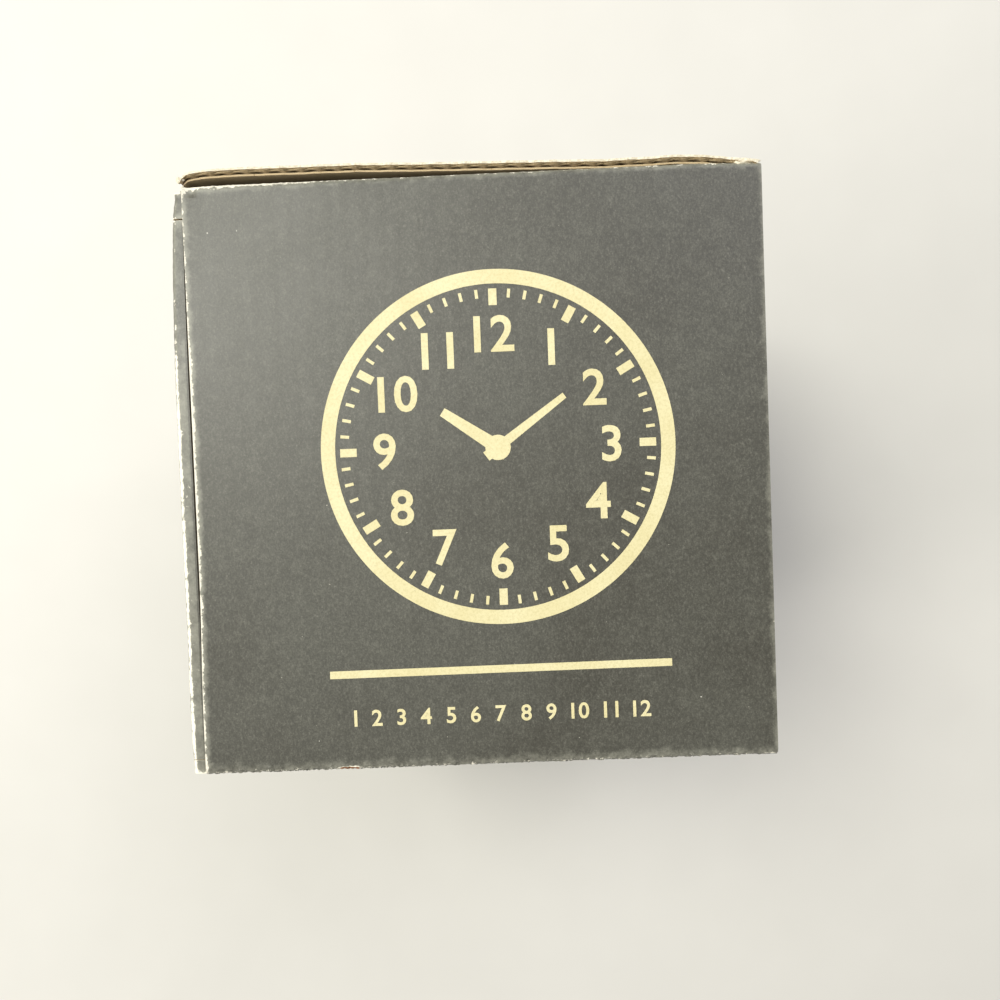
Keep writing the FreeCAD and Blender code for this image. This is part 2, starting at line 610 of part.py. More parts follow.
def motor():
    """A flat-sided motor can with bosses at both ends and a bore for its shaft."""
    x, y = polar(CENTRE_DISTANCE, MOTOR_ANGLE)
    can = disc(MOTOR_RADIUS, MOTOR_END, PLATE_INNER, x, y)
    flats = block((x - MOTOR_RADIUS, x + MOTOR_RADIUS), (y - MOTOR_FLAT, y + MOTOR_FLAT),
                  (MOTOR_END, PLATE_INNER))
    can = can.common(flats)
    bosses = disc(MOTOR_BOSS_RADIUS, MOTOR_END - MOTOR_BOSS, PLATE_INNER + MOTOR_BOSS, x, y)
    bore = disc(MOTOR_SHAFT_RADIUS + RUNNING_FIT, PLATE_INNER - MOTOR_BORE_DEPTH, PLATE_INNER + 2, x, y)
    return joined([can, bosses]).cut(bore)


def axle():
    """A stepped axle: the thin arbor carries the first gear, and the thick end carries the wheel."""
    step = LAYER_3 - GEAR_GAP / 2
    thick_end = WHEEL_INNER + HUB_BOSS_DEPTH - CAP_PLUG_DEPTH
    return joined([disc(ARBOR_RADIUS, PLATE_INNER + RUNNING_FIT, step), disc(AXLE_RADIUS, step, thick_end)])


# ---------------------------------------------------------------- wheels
def hub():
    """A spoked wheel hub: rim, web with windows, ribs and a boss for the axle."""
    rim_low = WHEEL_INNER + RIM_SETBACK
    rim_high = WHEEL_OUTER - RIM_SETBACK
    rim_inside = RIM_RADIUS - RIM_WALL
    boss_high = WHEEL_INNER + HUB_BOSS_DEPTH
    rim = tube(RIM_RADIUS, rim_inside, rim_low, rim_high)
    web_low = WHEEL_MIDDLE - HUB_WEB
    web = disc(rim_inside, web_low, WHEEL_MIDDLE)
    window_ring = tube(rim_inside - HUB_RING, HUB_BOSS_RADIUS + HUB_COLLAR, web_low - 1, WHEEL_MIDDLE + 1)
    spokes = []
    ribs = []
    for i in range(HUB_SPOKES):
        turn = 360.0 * i / HUB_SPOKES
        spoke = block((0, rim_inside), centred(SPOKE_WIDTH / 2), (web_low - 2, WHEEL_MIDDLE + 2))
        rib = block((HUB_BOSS_RADIUS - 1, rim_inside + 1), centred(SPOKE_RIB / 2),
                    (web_low - SPOKE_RIB_PROUD, WHEEL_MIDDLE + SPOKE_RIB_PROUD))
        for shape, shelf in ((spoke, spokes), (rib, ribs)):
            shape.rotate(point(0, 0, 0), Z_AXIS, turn)
            shelf.append(shape)
    web = web.cut(window_ring.cut(Part.makeCompound(spokes)))
    boss = disc(HUB_BOSS_RADIUS, WHEEL_INNER, boss_high)
    body = joined([rim, web, boss] + ribs)
    body = body.cut(disc(AXLE_RADIUS, WHEEL_INNER - 1, boss_high + 1))
    return body.cut(disc(CAP_PLUG_RADIUS, boss_high - CAP_PLUG_DEPTH, boss_high + 1))


def hub_cap():
    """The round cap that plugs into the hub's boss over the axle's end."""
    seat = WHEEL_INNER + HUB_BOSS_DEPTH
    badge = disc(CAP_BADGE_RADIUS, seat, seat + CAP_BADGE_THICKNESS)
    top = seat + CAP_BADGE_THICKNESS
    badge = rounded(badge, CAP_BADGE_ROUND,
                    lambda middle, run: abs(middle.z - top) < 0.01 and run.Length < 0.01)
    return joined([badge, disc(CAP_PLUG_RADIUS, seat - CAP_PLUG_DEPTH, seat)])


def tyre():
    """A ribbed tyre: round shoulders, two grooves round it and slots across each shoulder."""
    ring = tube(WHEEL_RADIUS, RIM_RADIUS, WHEEL_INNER, WHEEL_OUTER)
    ring = rounded(ring, TYRE_SHOULDER,
                   lambda middle, run: math.hypot(middle.x, middle.y) > WHEEL_RADIUS - 0.01
                   and run.Length < 0.01)
    floor = WHEEL_RADIUS - TREAD_GROOVE_DEPTH
    for side in (-1, 1):
        groove_middle = WHEEL_MIDDLE + side * TREAD_GROOVE_OFFSET
        ring = ring.cut(tube(WHEEL_RADIUS + 1, floor, groove_middle - TREAD_GROOVE_WIDTH / 2,
                             groove_middle + TREAD_GROOVE_WIDTH / 2))
    slots = []
    for i in range(TREAD_LUGS):
        for low, high, shift in ((WHEEL_INNER - 1, WHEEL_MIDDLE - TREAD_GROOVE_OFFSET, 0.0),
                                 (WHEEL_MIDDLE + TREAD_GROOVE_OFFSET, WHEEL_OUTER + 1, 0.5)):
            slot = block((floor, WHEEL_RADIUS + 1), centred(TREAD_SLOT_WIDTH / 2), (low, high))
            slot.rotate(point(0, 0, 0), Z_AXIS, 360.0 * (i + shift) / TREAD_LUGS)
            slots.append(slot)
    return ring.cut(Part.makeCompound(slots))


# ---------------------------------------------------------------- housing
def drum_form(radius, flat, half_length, corner):
    """A round body along the axle with rounded ends and a flat front."""
    form = disc(radius, -half_length, half_length)
    form = rounded(form, corner, lambda middle, run: run.Length < 0.01)
    keep = block(centred(radius + 1), (-flat, radius + 1), centred(half_length + 1))
    return form.common(keep)


def screw_places():
    """Where the end caps' screws stand round the axle."""
    return [polar(SCREW_DISTANCE, angle) for angle in SCREW_ANGLES]


def boss_column(angle, z_low, z_high):
    """A screw boss with a web out to the drum's wall."""
    x, y = polar(SCREW_DISTANCE, angle)
    web = block((SCREW_DISTANCE, INNER_RADIUS + DRUM_WALL / 2), centred(SCREW_BOSS_RADIUS / 2),
                (z_low, z_high))
    web.rotate(point(0, 0, 0), Z_AXIS, angle)
    return [disc(SCREW_BOSS_RADIUS, z_low, z_high, x, y), web]


def housing():
    """The drum and its two end caps, cut from one hollow form."""
    outer = drum_form(DRUM_RADIUS, DRUM_FLAT, CAP_FACE, CAP_ROUND)
    inner = drum_form(INNER_RADIUS, INNER_FLAT, CAP_INSIDE, CAP_ROUND - DRUM_WALL)
    hollow = outer.cut(inner)
    middle = block(centred(DRUM_RADIUS + 1), centred(DRUM_RADIUS + 1), centred(DRUM_END))
    end = block(centred(DRUM_RADIUS + 1), centred(DRUM_RADIUS + 1), (DRUM_END, CAP_FACE + 1))
    return hollow.common(middle), hollow.common(end)


def finish_drum(drum):
    """The drum with its screw bosses and all its openings."""
    additions = []
    for angle in SCREW_ANGLES:
        for shape in boss_column(angle, DRUM_END - SCREW_BOSS_LENGTH, DRUM_END):
            additions.extend([shape, mirrored(shape)])
    drum = joined([drum] + additions)
    cuts = []
    for x, y in screw_places():
        cuts.append(disc(SCREW_RADIUS, DRUM_END - SCREW_BOSS_LENGTH - 1, DRUM_END + 1, x, y))
        cuts.append(disc(SCREW_RADIUS, -DRUM_END - 1, -DRUM_END + SCREW_BOSS_LENGTH + 1, x, y))
    cuts.append(block(centred(BEZEL_NECK_WIDTH / 2), (-DRUM_RADIUS, -INNER_FLAT + 1),
                      centred(BEZEL_NECK_LENGTH / 2)))
    cuts.append(block((0, DRUM_RADIUS + 1), centred(SNOOZE_WIDTH / 2 + CONTROL_GAP),
                      centred(SNOOZE_LENGTH / 2 + CONTROL_GAP)))
    cuts.append(door_block(CONTROL_GAP))
    for z in set_button_places():
        cuts.append(rod(SET_BUTTON_RADIUS + CONTROL_GAP, point(SET_BUTTON_X, 0, z), Y_AXIS, DRUM_RADIUS + 1))
    slot_half = (SLIDER_LENGTH + SLIDER_TRAVEL) / 2 + CONTROL_GAP
    slot_width = SLIDER_WIDTH / 2 + CONTROL_GAP
    cuts.append(block((SLIDER_X - slot_width, SLIDER_X + slot_width), (0, DRUM_RADIUS + 1),
                      centred(slot_half)))
    cuts.extend(sound_holes())
    return drum.cut(Part.makeCompound(cuts))


def sound_holes():
    """The grid of small holes in front of the sounder."""
    holes = []
    step = math.degrees(SOUND_HOLE_PITCH / DRUM_RADIUS)
    for row in range(SOUND_HOLE_ROWS):
        angle = SOUND_HOLE_ANGLE + (row - (SOUND_HOLE_ROWS - 1) / 2) * step
        direction = point(*polar(1, angle), 0)
        for column in range(SOUND_HOLE_COLUMNS):
            z = SOUNDER_Z + (column - (SOUND_HOLE_COLUMNS - 1) / 2) * SOUND_HOLE_PITCH
            start = direction * (INNER_RADIUS - HOLE_OVERRUN) + Z_AXIS * z
            holes.append(rod(SOUND_HOLE_RADIUS, start, direction, DRUM_WALL + 2 * HOLE_OVERRUN))
    return holes


def finish_cap(cap):
    """An end cap with its lip, bosses, plate posts, screw holes and axle hole."""
    lip_radius = INNER_RADIUS - SHELL_FIT
    lip = tube(lip_radius, lip_radius - CAP_LIP, DRUM_END - CAP_LIP_DEPTH, DRUM_END + 1)
    lip = lip.common(block(centred(DRUM_RADIUS), (-INNER_FLAT + SHELL_FIT, DRUM_RADIUS),
                           (DRUM_END - CAP_LIP_DEPTH, DRUM_END + 1)))
    clear = [disc(SCREW_BOSS_RADIUS + CONTROL_GAP, 0, DRUM_END, x, y) for x, y in screw_places()]
    for angle in SCREW_ANGLES:
        web = block((SCREW_DISTANCE, DRUM_RADIUS), centred(SCREW_BOSS_RADIUS / 2 + CONTROL_GAP),
                    (0, DRUM_END))
        web.rotate(point(0, 0, 0), Z_AXIS, angle)
        clear.append(web)
    lip = lip.cut(Part.makeCompound(clear))
    shoulder = tube(INNER_RADIUS + DRUM_WALL / 2, lip_radius - CAP_LIP, DRUM_END, DRUM_END + 1)
    shoulder = shoulder.common(block(centred(DRUM_RADIUS), (-INNER_FLAT, DRUM_RADIUS),
                                     (DRUM_END, DRUM_END + 1)))
    pieces = [cap, shoulder] + lip.Solids
    for angle in SCREW_ANGLES:
        pieces.extend(boss_column(angle, DRUM_END, CAP_INSIDE + BOSS_SINK))
    for x, y in PLATE_POSTS:
        pieces.append(disc(PLATE_POST_RADIUS, PLATE_OUTER, CAP_INSIDE + BOSS_SINK, x, y))
    cap = joined(pieces)
    cuts = [disc(BUSH_RADIUS, CAP_INSIDE - 1, CAP_FACE + 1)]
    for x, y in screw_places():
        cuts.append(disc(SCREW_RADIUS, DRUM_END - 1, CAP_FACE + 1, x, y))
        cuts.append(disc(SCREW_HEAD_RADIUS, CAP_FACE - SCREW_HEAD_DEPTH, CAP_FACE + 1, x, y))
    return cap.cut(Part.makeCompound(cuts))


def cap_screws():
    """The six screws that hold the end caps."""
    screws = []
    for x, y in screw_places():
        under_head = CAP_FACE - SCREW_HEAD_DEPTH
        head = disc(SCREW_HEAD_RADIUS, under_head, CAP_FACE, x, y)
        shank = disc(SCREW_RADIUS, under_head - SCREW_LENGTH, under_head, x, y)
        slot = block((x - SCREW_HEAD_RADIUS, x + SCREW_HEAD_RADIUS),
                     (y - SCREW_SLOT_WIDTH / 2, y + SCREW_SLOT_WIDTH / 2),
                     (CAP_FACE - SCREW_SLOT_DEPTH, CAP_FACE + 1))
        screw = joined([head, shank]).cut(slot)
        screws.extend([screw, mirrored(screw)])
    return Part.makeCompound(screws)


# ---------------------------------------------------------------- battery bay
def door_block(margin):
    """The block that cuts the door's opening, or the door with no margin, from the drum's underside."""
    half_width = TRAY_HALF_WIDTH - TRAY_WALL + DOOR_LAP + margin
    return block((-DRUM_RADIUS - 1, CELL_X_INNER), centred(half_width),
                 centred(TRAY_LENGTH / 2 - DOOR_LAP + margin))


def battery_bay():
    """The cell tray, four cells, their contacts and the door."""
    tray = block((-DRUM_RADIUS, -TRAY_TOP), centred(TRAY_HALF_WIDTH), centred(TRAY_LENGTH / 2))
    tray = tray.common(disc(INNER_RADIUS - SHELL_FIT, -DRUM_END, DRUM_END))
    tray = tray.cut(block((-DRUM_RADIUS - 1, -TRAY_TOP - TRAY_WALL), centred(TRAY_HALF_WIDTH - TRAY_WALL),
                          centred(TRAY_LENGTH / 2 - TRAY_WALL)))
    save("battery_tray", tray)

    half = CELL_LENGTH / 2
    cells = []
    bumps = []
    for column, y in enumerate((-CELL_Y, CELL_Y)):
        for x in (CELL_X_INNER, CELL_X_OUTER):
            body = disc(CELL_RADIUS, -half, half - CELL_NUB, x, y)
            cell = joined([body, disc(CELL_NUB_RADIUS, half - CELL_NUB, half, x, y)])
            cells.append(cell if column == 0 else mirrored(cell))
            bumps.append(disc(CONTACT_BUMP_RADIUS, half, half + CONTACT_RUN + CONTACT_PLATE / 2, x, y))
    save("battery_cells", Part.makeCompound(cells))

    contacts = []
    plate_low = half + CONTACT_RUN
    for side in (0, 1):
        y_middle = (-CELL_Y, CELL_Y)[side]
        plate = block((CELL_X_OUTER - CELL_RADIUS * 0.7, CELL_X_INNER + CELL_RADIUS * 0.8),
                      (y_middle - CELL_RADIUS * 0.85, y_middle + CELL_RADIUS * 0.85),
                      (plate_low, plate_low + CONTACT_PLATE))
        contact = joined([plate] + bumps[2 * side:2 * side + 2])
        contacts.extend([contact, mirrored(contact)])
    save("battery_contacts", Part.makeCompound(contacts))

    skin = tube(DRUM_RADIUS, INNER_RADIUS - SHELL_FIT + DOOR_SEAT, -DRUM_END, DRUM_END)
    door = skin.common(door_block(0))
    for i in range(DOOR_GRIP_RIDGES):
        groove_z = TRAY_LENGTH / 2 - DOOR_GRIP_INSET - DOOR_GRIP_PITCH * i
        door = door.cut(block((-DRUM_RADIUS - 1, -DRUM_RADIUS + DOOR_GRIP_DEPTH),
                              centred(DOOR_GRIP_LENGTH / 2), (groove_z, groove_z + DOOR_GRIP_WIDTH)))
    save("battery_door", door)


# ---------------------------------------------------------------- display, boards and chassis
def display():
    """The bezel in the drum's flat front, its lens, and the glass and backlight behind them."""
    face = -DRUM_FLAT
    lip = block(centred(BEZEL_LIP_WIDTH / 2), (face - BEZEL_LIP, face), centred(BEZEL_LIP_LENGTH / 2))
    lip = rounded(lip, BEZEL_CORNER, lambda middle, run: along(run, Y_AXIS))
    lip = rounded(lip, BEZEL_EDGE, lambda middle, run: abs(middle.y - face + BEZEL_LIP) < 0.01)
    neck = block(centred(BEZEL_NECK_WIDTH / 2), (face, -INNER_FLAT), centred(BEZEL_NECK_LENGTH / 2))
    window = block(centred(WINDOW_WIDTH / 2), (face - BEZEL_LIP - 1, 0), centred(WINDOW_LENGTH / 2))
    save("display_bezel", joined([lip, neck]).cut(window))

    lens_front = face - BEZEL_LIP + LENS_RECESS
    save("display_lens", block(centred(WINDOW_WIDTH / 2), (lens_front, lens_front + LENS_THICKNESS),
                               centred(WINDOW_LENGTH / 2)))
    save("display_glass", block(centred(GLASS_WIDTH / 2), (GLASS_FRONT, GLASS_BACK),
                                centred(GLASS_LENGTH / 2)))
    save("display_backlight", block(centred(GLASS_WIDTH / 2 - BACKLIGHT_INSET),
                                    (GLASS_BACK, MAIN_BOARD_FRONT),
                                    centred(GLASS_LENGTH / 2 - BACKLIGHT_INSET)))


def boards():
    """The main circuit board with its sounder, and the rear board with the switches."""
    save("circuit_board", block(centred(MAIN_BOARD_WIDTH / 2), (MAIN_BOARD_FRONT, MAIN_BOARD_BACK),
                                centred(MAIN_BOARD_LENGTH / 2)))
    sounder = rod(SOUNDER_RADIUS, point(SOUNDER_X, MAIN_BOARD_BACK, SOUNDER_Z), Y_AXIS, SOUNDER_HEIGHT)
    mouth = rod(SOUNDER_RADIUS / 5, point(SOUNDER_X, MAIN_BOARD_BACK + 1, SOUNDER_Z), Y_AXIS, SOUNDER_HEIGHT)
    save("sounder", sounder.cut(mouth))
    save("rear_switch_board", block(centred(REAR_BOARD_WIDTH / 2), (REAR_BOARD_Y, REAR_BOARD_BACK),
                                    centred(REAR_BOARD_LENGTH / 2)))

    half = SWITCH_SIZE / 2
    switches = [block((SNOOZE_POST_TOP, SNOOZE_SWITCH_TOP), centred(half), centred(half))]
    for z in set_button_places():
        switches.append(block((SET_BUTTON_X - half, SET_BUTTON_X + half), (REAR_BOARD_BACK, SET_SWITCH_TOP),
                              (z - half, z + half)))
    slider_body = block((SLIDER_X - SLIDER_BASE_HALF, SET_BUTTON_X - SWITCH_SIZE / 2 - SWITCH_SPACING),
                        (REAR_BOARD_BACK, SLIDER_BASE_BOTTOM - PRESS_MARGIN),
                        centred((SLIDER_LENGTH + SLIDER_TRAVEL) / 2 + SLIDER_BASE_MARGIN))
    save("switch_bodies", Part.makeCompound(switches + [slider_body]))


def chassis(motor_shape):
    """The plate on the cell tray that carries the motors, both boards and the snooze switch."""
    floor = (-TRAY_TOP, CHASSIS_TOP)
    plate = block(floor, (MAIN_BOARD_BACK, REAR_BOARD_Y), centred(PLATE_INNER))
    motor_x, motor_y = polar(CENTRE_DISTANCE, MOTOR_ANGLE)
    saddle = block((CHASSIS_TOP, CHASSIS_TOP + SADDLE_HEIGHT),
                   (motor_y - MOTOR_RADIUS - SADDLE_MARGIN, motor_y + MOTOR_RADIUS + SADDLE_MARGIN),
                   (MOTOR_END + SADDLE_INSET, PLATE_INNER - SADDLE_INSET))
    saddle = saddle.cut(motor_shape)
    post_half = SNOOZE_POST / 2
    post = block((CHASSIS_TOP, SNOOZE_POST_TOP), centred(post_half), centred(post_half))
    pieces = [plate, saddle, mirrored(saddle), post]
    fin_height = (CHASSIS_TOP, CHASSIS_TOP + SADDLE_HEIGHT)
    half = FIN_THICKNESS / 2
    for side in (-1, 1):
        rear_z = side * REAR_FIN_Z
        front_z = side * FRONT_FIN_Z
        pieces.append(block(fin_height, (motor_y + MOTOR_RADIUS + SADDLE_MARGIN, REAR_BOARD_Y),
                            (rear_z - half, rear_z + half)))
        pieces.append(block(fin_height, (MAIN_BOARD_BACK, MAIN_BOARD_BACK + FRONT_FIN_DEPTH),
                            (front_z - half, front_z + half)))
    save("inner_chassis", joined(pieces))


# ---------------------------------------------------------------- controls
def set_button_places():
    """The set buttons' places along the axle."""
    count = len(SET_BUTTON_NAMES)
    return [(i - (count - 1) / 2) * SET_BUTTON_PITCH for i in range(count)]


def controls():
    """The snooze bar on top, four set buttons and the alarm's slide switch on the back."""
    body = block((SNOOZE_FLANGE_TOP, DRUM_RADIUS + SNOOZE_PROUD), centred(SNOOZE_WIDTH / 2),
                 centred(SNOOZE_LENGTH / 2))
    body = rounded(body, SNOOZE_WIDTH / 3, lambda middle, run: along(run, X_AXIS))
    top = DRUM_RADIUS + SNOOZE_PROUD
    body = rounded(body, SNOOZE_PROUD / 2, lambda middle, run: abs(middle.x - top) < 0.01)
    flange = block((SNOOZE_FLANGE_BOTTOM, SNOOZE_FLANGE_TOP), centred(SNOOZE_FLANGE_HALF),
                   centred(SNOOZE_LENGTH / 2 + FLANGE_LAP))
    save("snooze_button", joined([body, flange]))

    face = math.sqrt(DRUM_RADIUS ** 2 - SET_BUTTON_X ** 2) + SET_BUTTON_PROUD
    for name, z in zip(SET_BUTTON_NAMES, set_button_places()):
        stem = rod(SET_BUTTON_RADIUS, point(SET_BUTTON_X, SET_FLANGE_BOTTOM, z), Y_AXIS,
                   face - SET_FLANGE_BOTTOM)
        stem = rounded(stem, SET_BUTTON_PROUD / 2,
                       lambda middle, run: abs(middle.y - face) < 0.01 and run.Length < 0.01)
        flange = rod(SET_FLANGE_RADIUS, point(SET_BUTTON_X, SET_FLANGE_BOTTOM, z), Y_AXIS, SET_BUTTON_FLANGE)
        save(name, joined([stem, flange]))

    rest = -SLIDER_TRAVEL / 2
    knob_face = math.sqrt(DRUM_RADIUS ** 2 - SLIDER_X ** 2) + SLIDER_PROUD
    knob = block((SLIDER_X - SLIDER_WIDTH / 2, SLIDER_X + SLIDER_WIDTH / 2), (SLIDER_BASE_BOTTOM, knob_face),
                 (rest - SLIDER_LENGTH / 2, rest + SLIDER_LENGTH / 2))
    base_half = SLIDER_LENGTH / 2 + SLIDER_BASE_MARGIN
    base = block((SLIDER_X - SLIDER_BASE_HALF, SLIDER_X + SLIDER_WIDTH / 2),
                 (SLIDER_BASE_BOTTOM, SLIDER_BASE_TOP), (rest - base_half, rest + base_half))
    save("alarm_switch", joined([knob, base]))


# ---------------------------------------------------------------- assembly
def clock():
    """Every piece of the clock, then moved to its place in the carton."""
    before = set(NODES)
    drum, cap = housing()
    cap = finish_cap(cap)
    plate, pin, bush = gear_carrier()
    motor_shape = motor()
    save("housing_drum", finish_drum(drum))
    save("end_cap_screws", cap_screws())
    save("second_gear_pins", Part.makeCompound([pin, mirrored(pin)]))
    save("axle_bushes", Part.makeCompound([bush, mirrored(bush)]))
    paired = {"end_cap": cap, "gear_plate": plate, "motor": motor_shape, "wheel_axle": axle(),
              "wheel_hub": hub(), "wheel_tyre": tyre(), "hub_cap": hub_cap()}
    paired.update(gear_train())
    for name, shape in paired.items():
        save(name + "_left", shape)
        save(name + "_right", mirrored(shape))
    battery_bay()
    display()
    boards()
    chassis(motor_shape)
    controls()
    for name in NODES:
        if name not in before:
            NODES[name].translate(point(PACK_X, 0, CLOCK_Z))


def main():
    """Builds every node and writes one STEP file for each."""
    carton_walls()
    carton_bottom()
    carton_lid()
    dust_flaps()
    inserts()
    leaflet()
    clock()
    os.makedirs("parts", exist_ok=True)
    for name, shape in NODES.items():
        shape.exportStep("parts/" + name + ".step")
        print(name, len(shape.Solids), round(shape.Volume, 1), shape.isValid())


main()
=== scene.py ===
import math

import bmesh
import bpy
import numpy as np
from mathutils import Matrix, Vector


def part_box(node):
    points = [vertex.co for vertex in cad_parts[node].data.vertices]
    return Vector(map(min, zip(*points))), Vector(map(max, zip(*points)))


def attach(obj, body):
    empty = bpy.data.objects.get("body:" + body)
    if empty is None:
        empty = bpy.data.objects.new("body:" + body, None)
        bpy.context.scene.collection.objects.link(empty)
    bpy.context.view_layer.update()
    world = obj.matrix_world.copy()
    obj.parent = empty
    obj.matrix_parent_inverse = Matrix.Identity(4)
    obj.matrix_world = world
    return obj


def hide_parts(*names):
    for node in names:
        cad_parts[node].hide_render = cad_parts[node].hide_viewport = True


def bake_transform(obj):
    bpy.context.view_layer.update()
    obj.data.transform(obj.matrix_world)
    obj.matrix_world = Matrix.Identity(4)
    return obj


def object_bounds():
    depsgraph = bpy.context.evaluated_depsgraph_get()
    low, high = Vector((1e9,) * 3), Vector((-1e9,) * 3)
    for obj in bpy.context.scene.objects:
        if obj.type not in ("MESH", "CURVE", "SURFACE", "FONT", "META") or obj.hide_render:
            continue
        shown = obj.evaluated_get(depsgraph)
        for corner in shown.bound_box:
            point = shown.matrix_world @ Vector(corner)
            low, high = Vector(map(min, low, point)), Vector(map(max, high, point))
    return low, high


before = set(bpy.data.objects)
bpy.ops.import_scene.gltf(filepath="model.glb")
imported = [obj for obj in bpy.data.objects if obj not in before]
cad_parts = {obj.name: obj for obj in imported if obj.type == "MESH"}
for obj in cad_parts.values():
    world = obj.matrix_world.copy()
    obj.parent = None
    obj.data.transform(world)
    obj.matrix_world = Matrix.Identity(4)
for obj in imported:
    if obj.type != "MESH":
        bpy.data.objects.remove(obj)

# %% [markdown]
# # A boxed alarm clock on wheels
# The outside of this object is one folded blank of corrugated board. A designer would cut the blank flat,
# print it and fold it; here each panel is a thin sandwich of two paper liners with a wavy sheet between them,
# so that every cut edge shows real flutes. The frame comes from CAD and is in metres; the sizes below are in
# millimetres, and one number turns them into metres at the end.

MM = 0.001
cad_low, cad_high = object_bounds()
LEFT, RIGHT = cad_low[0] / MM, cad_high[0] / MM
FRONT, BACK = cad_low[1] / MM, cad_high[1] / MM
TOP = cad_high[2] / MM

BOARD = 1.5  # board thickness
LINER = 0.28  # one paper liner
MEDIUM = 0.22  # the wavy sheet
SWING = (BOARD - 2 * LINER - MEDIUM) / 2  # half the height of its waves
PITCH = 3.3  # one flute
FOLD_REACH = 2.4  # board on each side of a crease that belongs to the crease
SIDE_REACH = 3.1  # the same at the dust flaps
FOLD_ROUND = 1.5  # outer radius of a square fold
LID_Z = TOP - 0.06  # the lid's print lies just under the box's top
FLUTE_SHOW = 0.005  # how deep the outer liner sinks between flutes
FAR = 9.0  # a distance to the nearest cut or fold that stands for far away
X, Y, Z = np.eye(3)  # directions: right, back and up


def corner_values(name):
    """A node's lowest and highest corner in millimetres."""
    low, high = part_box(name)
    return np.array(low) / MM, np.array(high) / MM


LID_LOW, LID_HIGH = corner_values("lid_panel")
DUST_LOW, DUST_HIGH = corner_values("dust_flap_left")
TAB_LOW, TAB_HIGH = corner_values("carton_glue_tab")
DUST_TOP = DUST_HIGH[2]
BACK_CUT = max(corner_values("carton_back_panel")[1][2] - 0.2, TOP - 0.25)
print("box", LEFT, RIGHT, FRONT, BACK, TOP)
print("lid", LID_LOW, LID_HIGH, "dust flap top", DUST_TOP)


# %% [markdown]
# ## Colours and shader nodes
# Colours are picked as hex codes, which are sRGB, and the renderer works in linear light, so one function
# converts them. One more adds a shader node with its settings and links. A table holds what most nodes of a
# kind share: a setting, the order of their inputs and their output. Math multiplies two values and adds one.

# %% Helpers for materials
USES = {
    "TexNoise": ({"noise_dimensions": "4D"}, ("Vector", "Scale", "Detail", "Roughness", "W"), "Fac"),
    "MapRange": ({"interpolation_type": "SMOOTHSTEP"},
                 ("Value", "From Min", "From Max", "To Min", "To Max"), "Result"),
    "Mix": ({"data_type": "RGBA"}, (0, 6, 7), 2),
    "Math": ({"operation": "MULTIPLY_ADD"}, (0, 1, 2), 0),
    "Attribute": ({"attribute_name": "edge"}, (), "Fac")}
PER_MM = 1 / MM  # divided by the width of a noise's blobs, it gives the noise's scale


def colour(code):
    """Linear RGBA of a hex sRGB code."""
    parts = [int(code[i:i + 2], 16) / 255 for i in (0, 2, 4)]
    return [p / 12.92 if p <= 0.04045 else ((p + 0.055) / 1.055) ** 2.4 for p in parts] + [1.0]


def add(tree, kind, *values, named=None, output=0, **settings):
    """Adds a shader node and gives one of its outputs. Its inputs are values or other nodes' outputs, in
    order or by name, and settings are its properties."""
    usual, order, output = USES.get(kind, ({}, range(len(values)), output))
    made = tree.nodes.new("ShaderNode" + kind)
    for key, value in {**usual, **settings}.items():
        setattr(made, key, value)
    for key, value in [*zip(order, values), *(named or {}).items()]:
        if isinstance(value, bpy.types.NodeSocket):
            tree.links.new(value, made.inputs[key])
        else:
            made.inputs[key].default_value = value
    return made.outputs[output] if len(made.outputs) else None


def new_material(name):
    """An empty material with its tree and the object coordinates."""
    made = bpy.data.materials.new(name)
    made.use_nodes = True
    made.node_tree.nodes.clear()
    return made, made.node_tree, add(made.node_tree, "TexCoord", output="Object")


def layer(tree, body, field, low, high, code, share=1.0):
    """A colour laid over another where a field goes from low to high, covering it up to a share."""
    return add(tree, "Mix", add(tree, "MapRange", field, low, high, 0.0, share), body, colour(code))


def close_material(tree, looks, height=None, depth_mm=0.02):
    """The principled shader with an optional bump, joined to the output."""
    if height is not None:
        bump = add(tree, "Bump", named={"Height": height, "Distance": depth_mm * MM, "Strength": 1.0})
        looks = {**looks, "Normal": bump}
    add(tree, "OutputMaterial", add(tree, "BsdfPrincipled", named=looks))


print("middle grey in linear light:", round(colour("808080")[0], 3))


# %% [markdown]
# ## Printed board
# The outside of the carton is kraft liner flooded with a dark grey ink, then varnished. On a real box the ink
# rubs off along folds and cut edges, and pale fibres show. Each board mesh carries the distance to its
# nearest fold or cut as an attribute, so the shader can fray the ink there with noise. At the lid's tuck fold
# this pale fraying is also a painted highlight.

# %% Printed board
# Small bare nicks in the ink of the lid: place and radius in millimetres.
NICKS = [(-46.4, 43.6, 0.24), (-41.1, 43.8, 0.24), (-47.9, 50.9, 0.26), (-9.9, 49.0, 0.16),
         (42.7, 43.6, 0.2), (42.9, 45.1, 0.16), (40.0, -43.9, 0.22), (-30.2, -49.5, 0.2),
         (17.5, -50.6, 0.16), (49.5, 12.0, 0.15)]
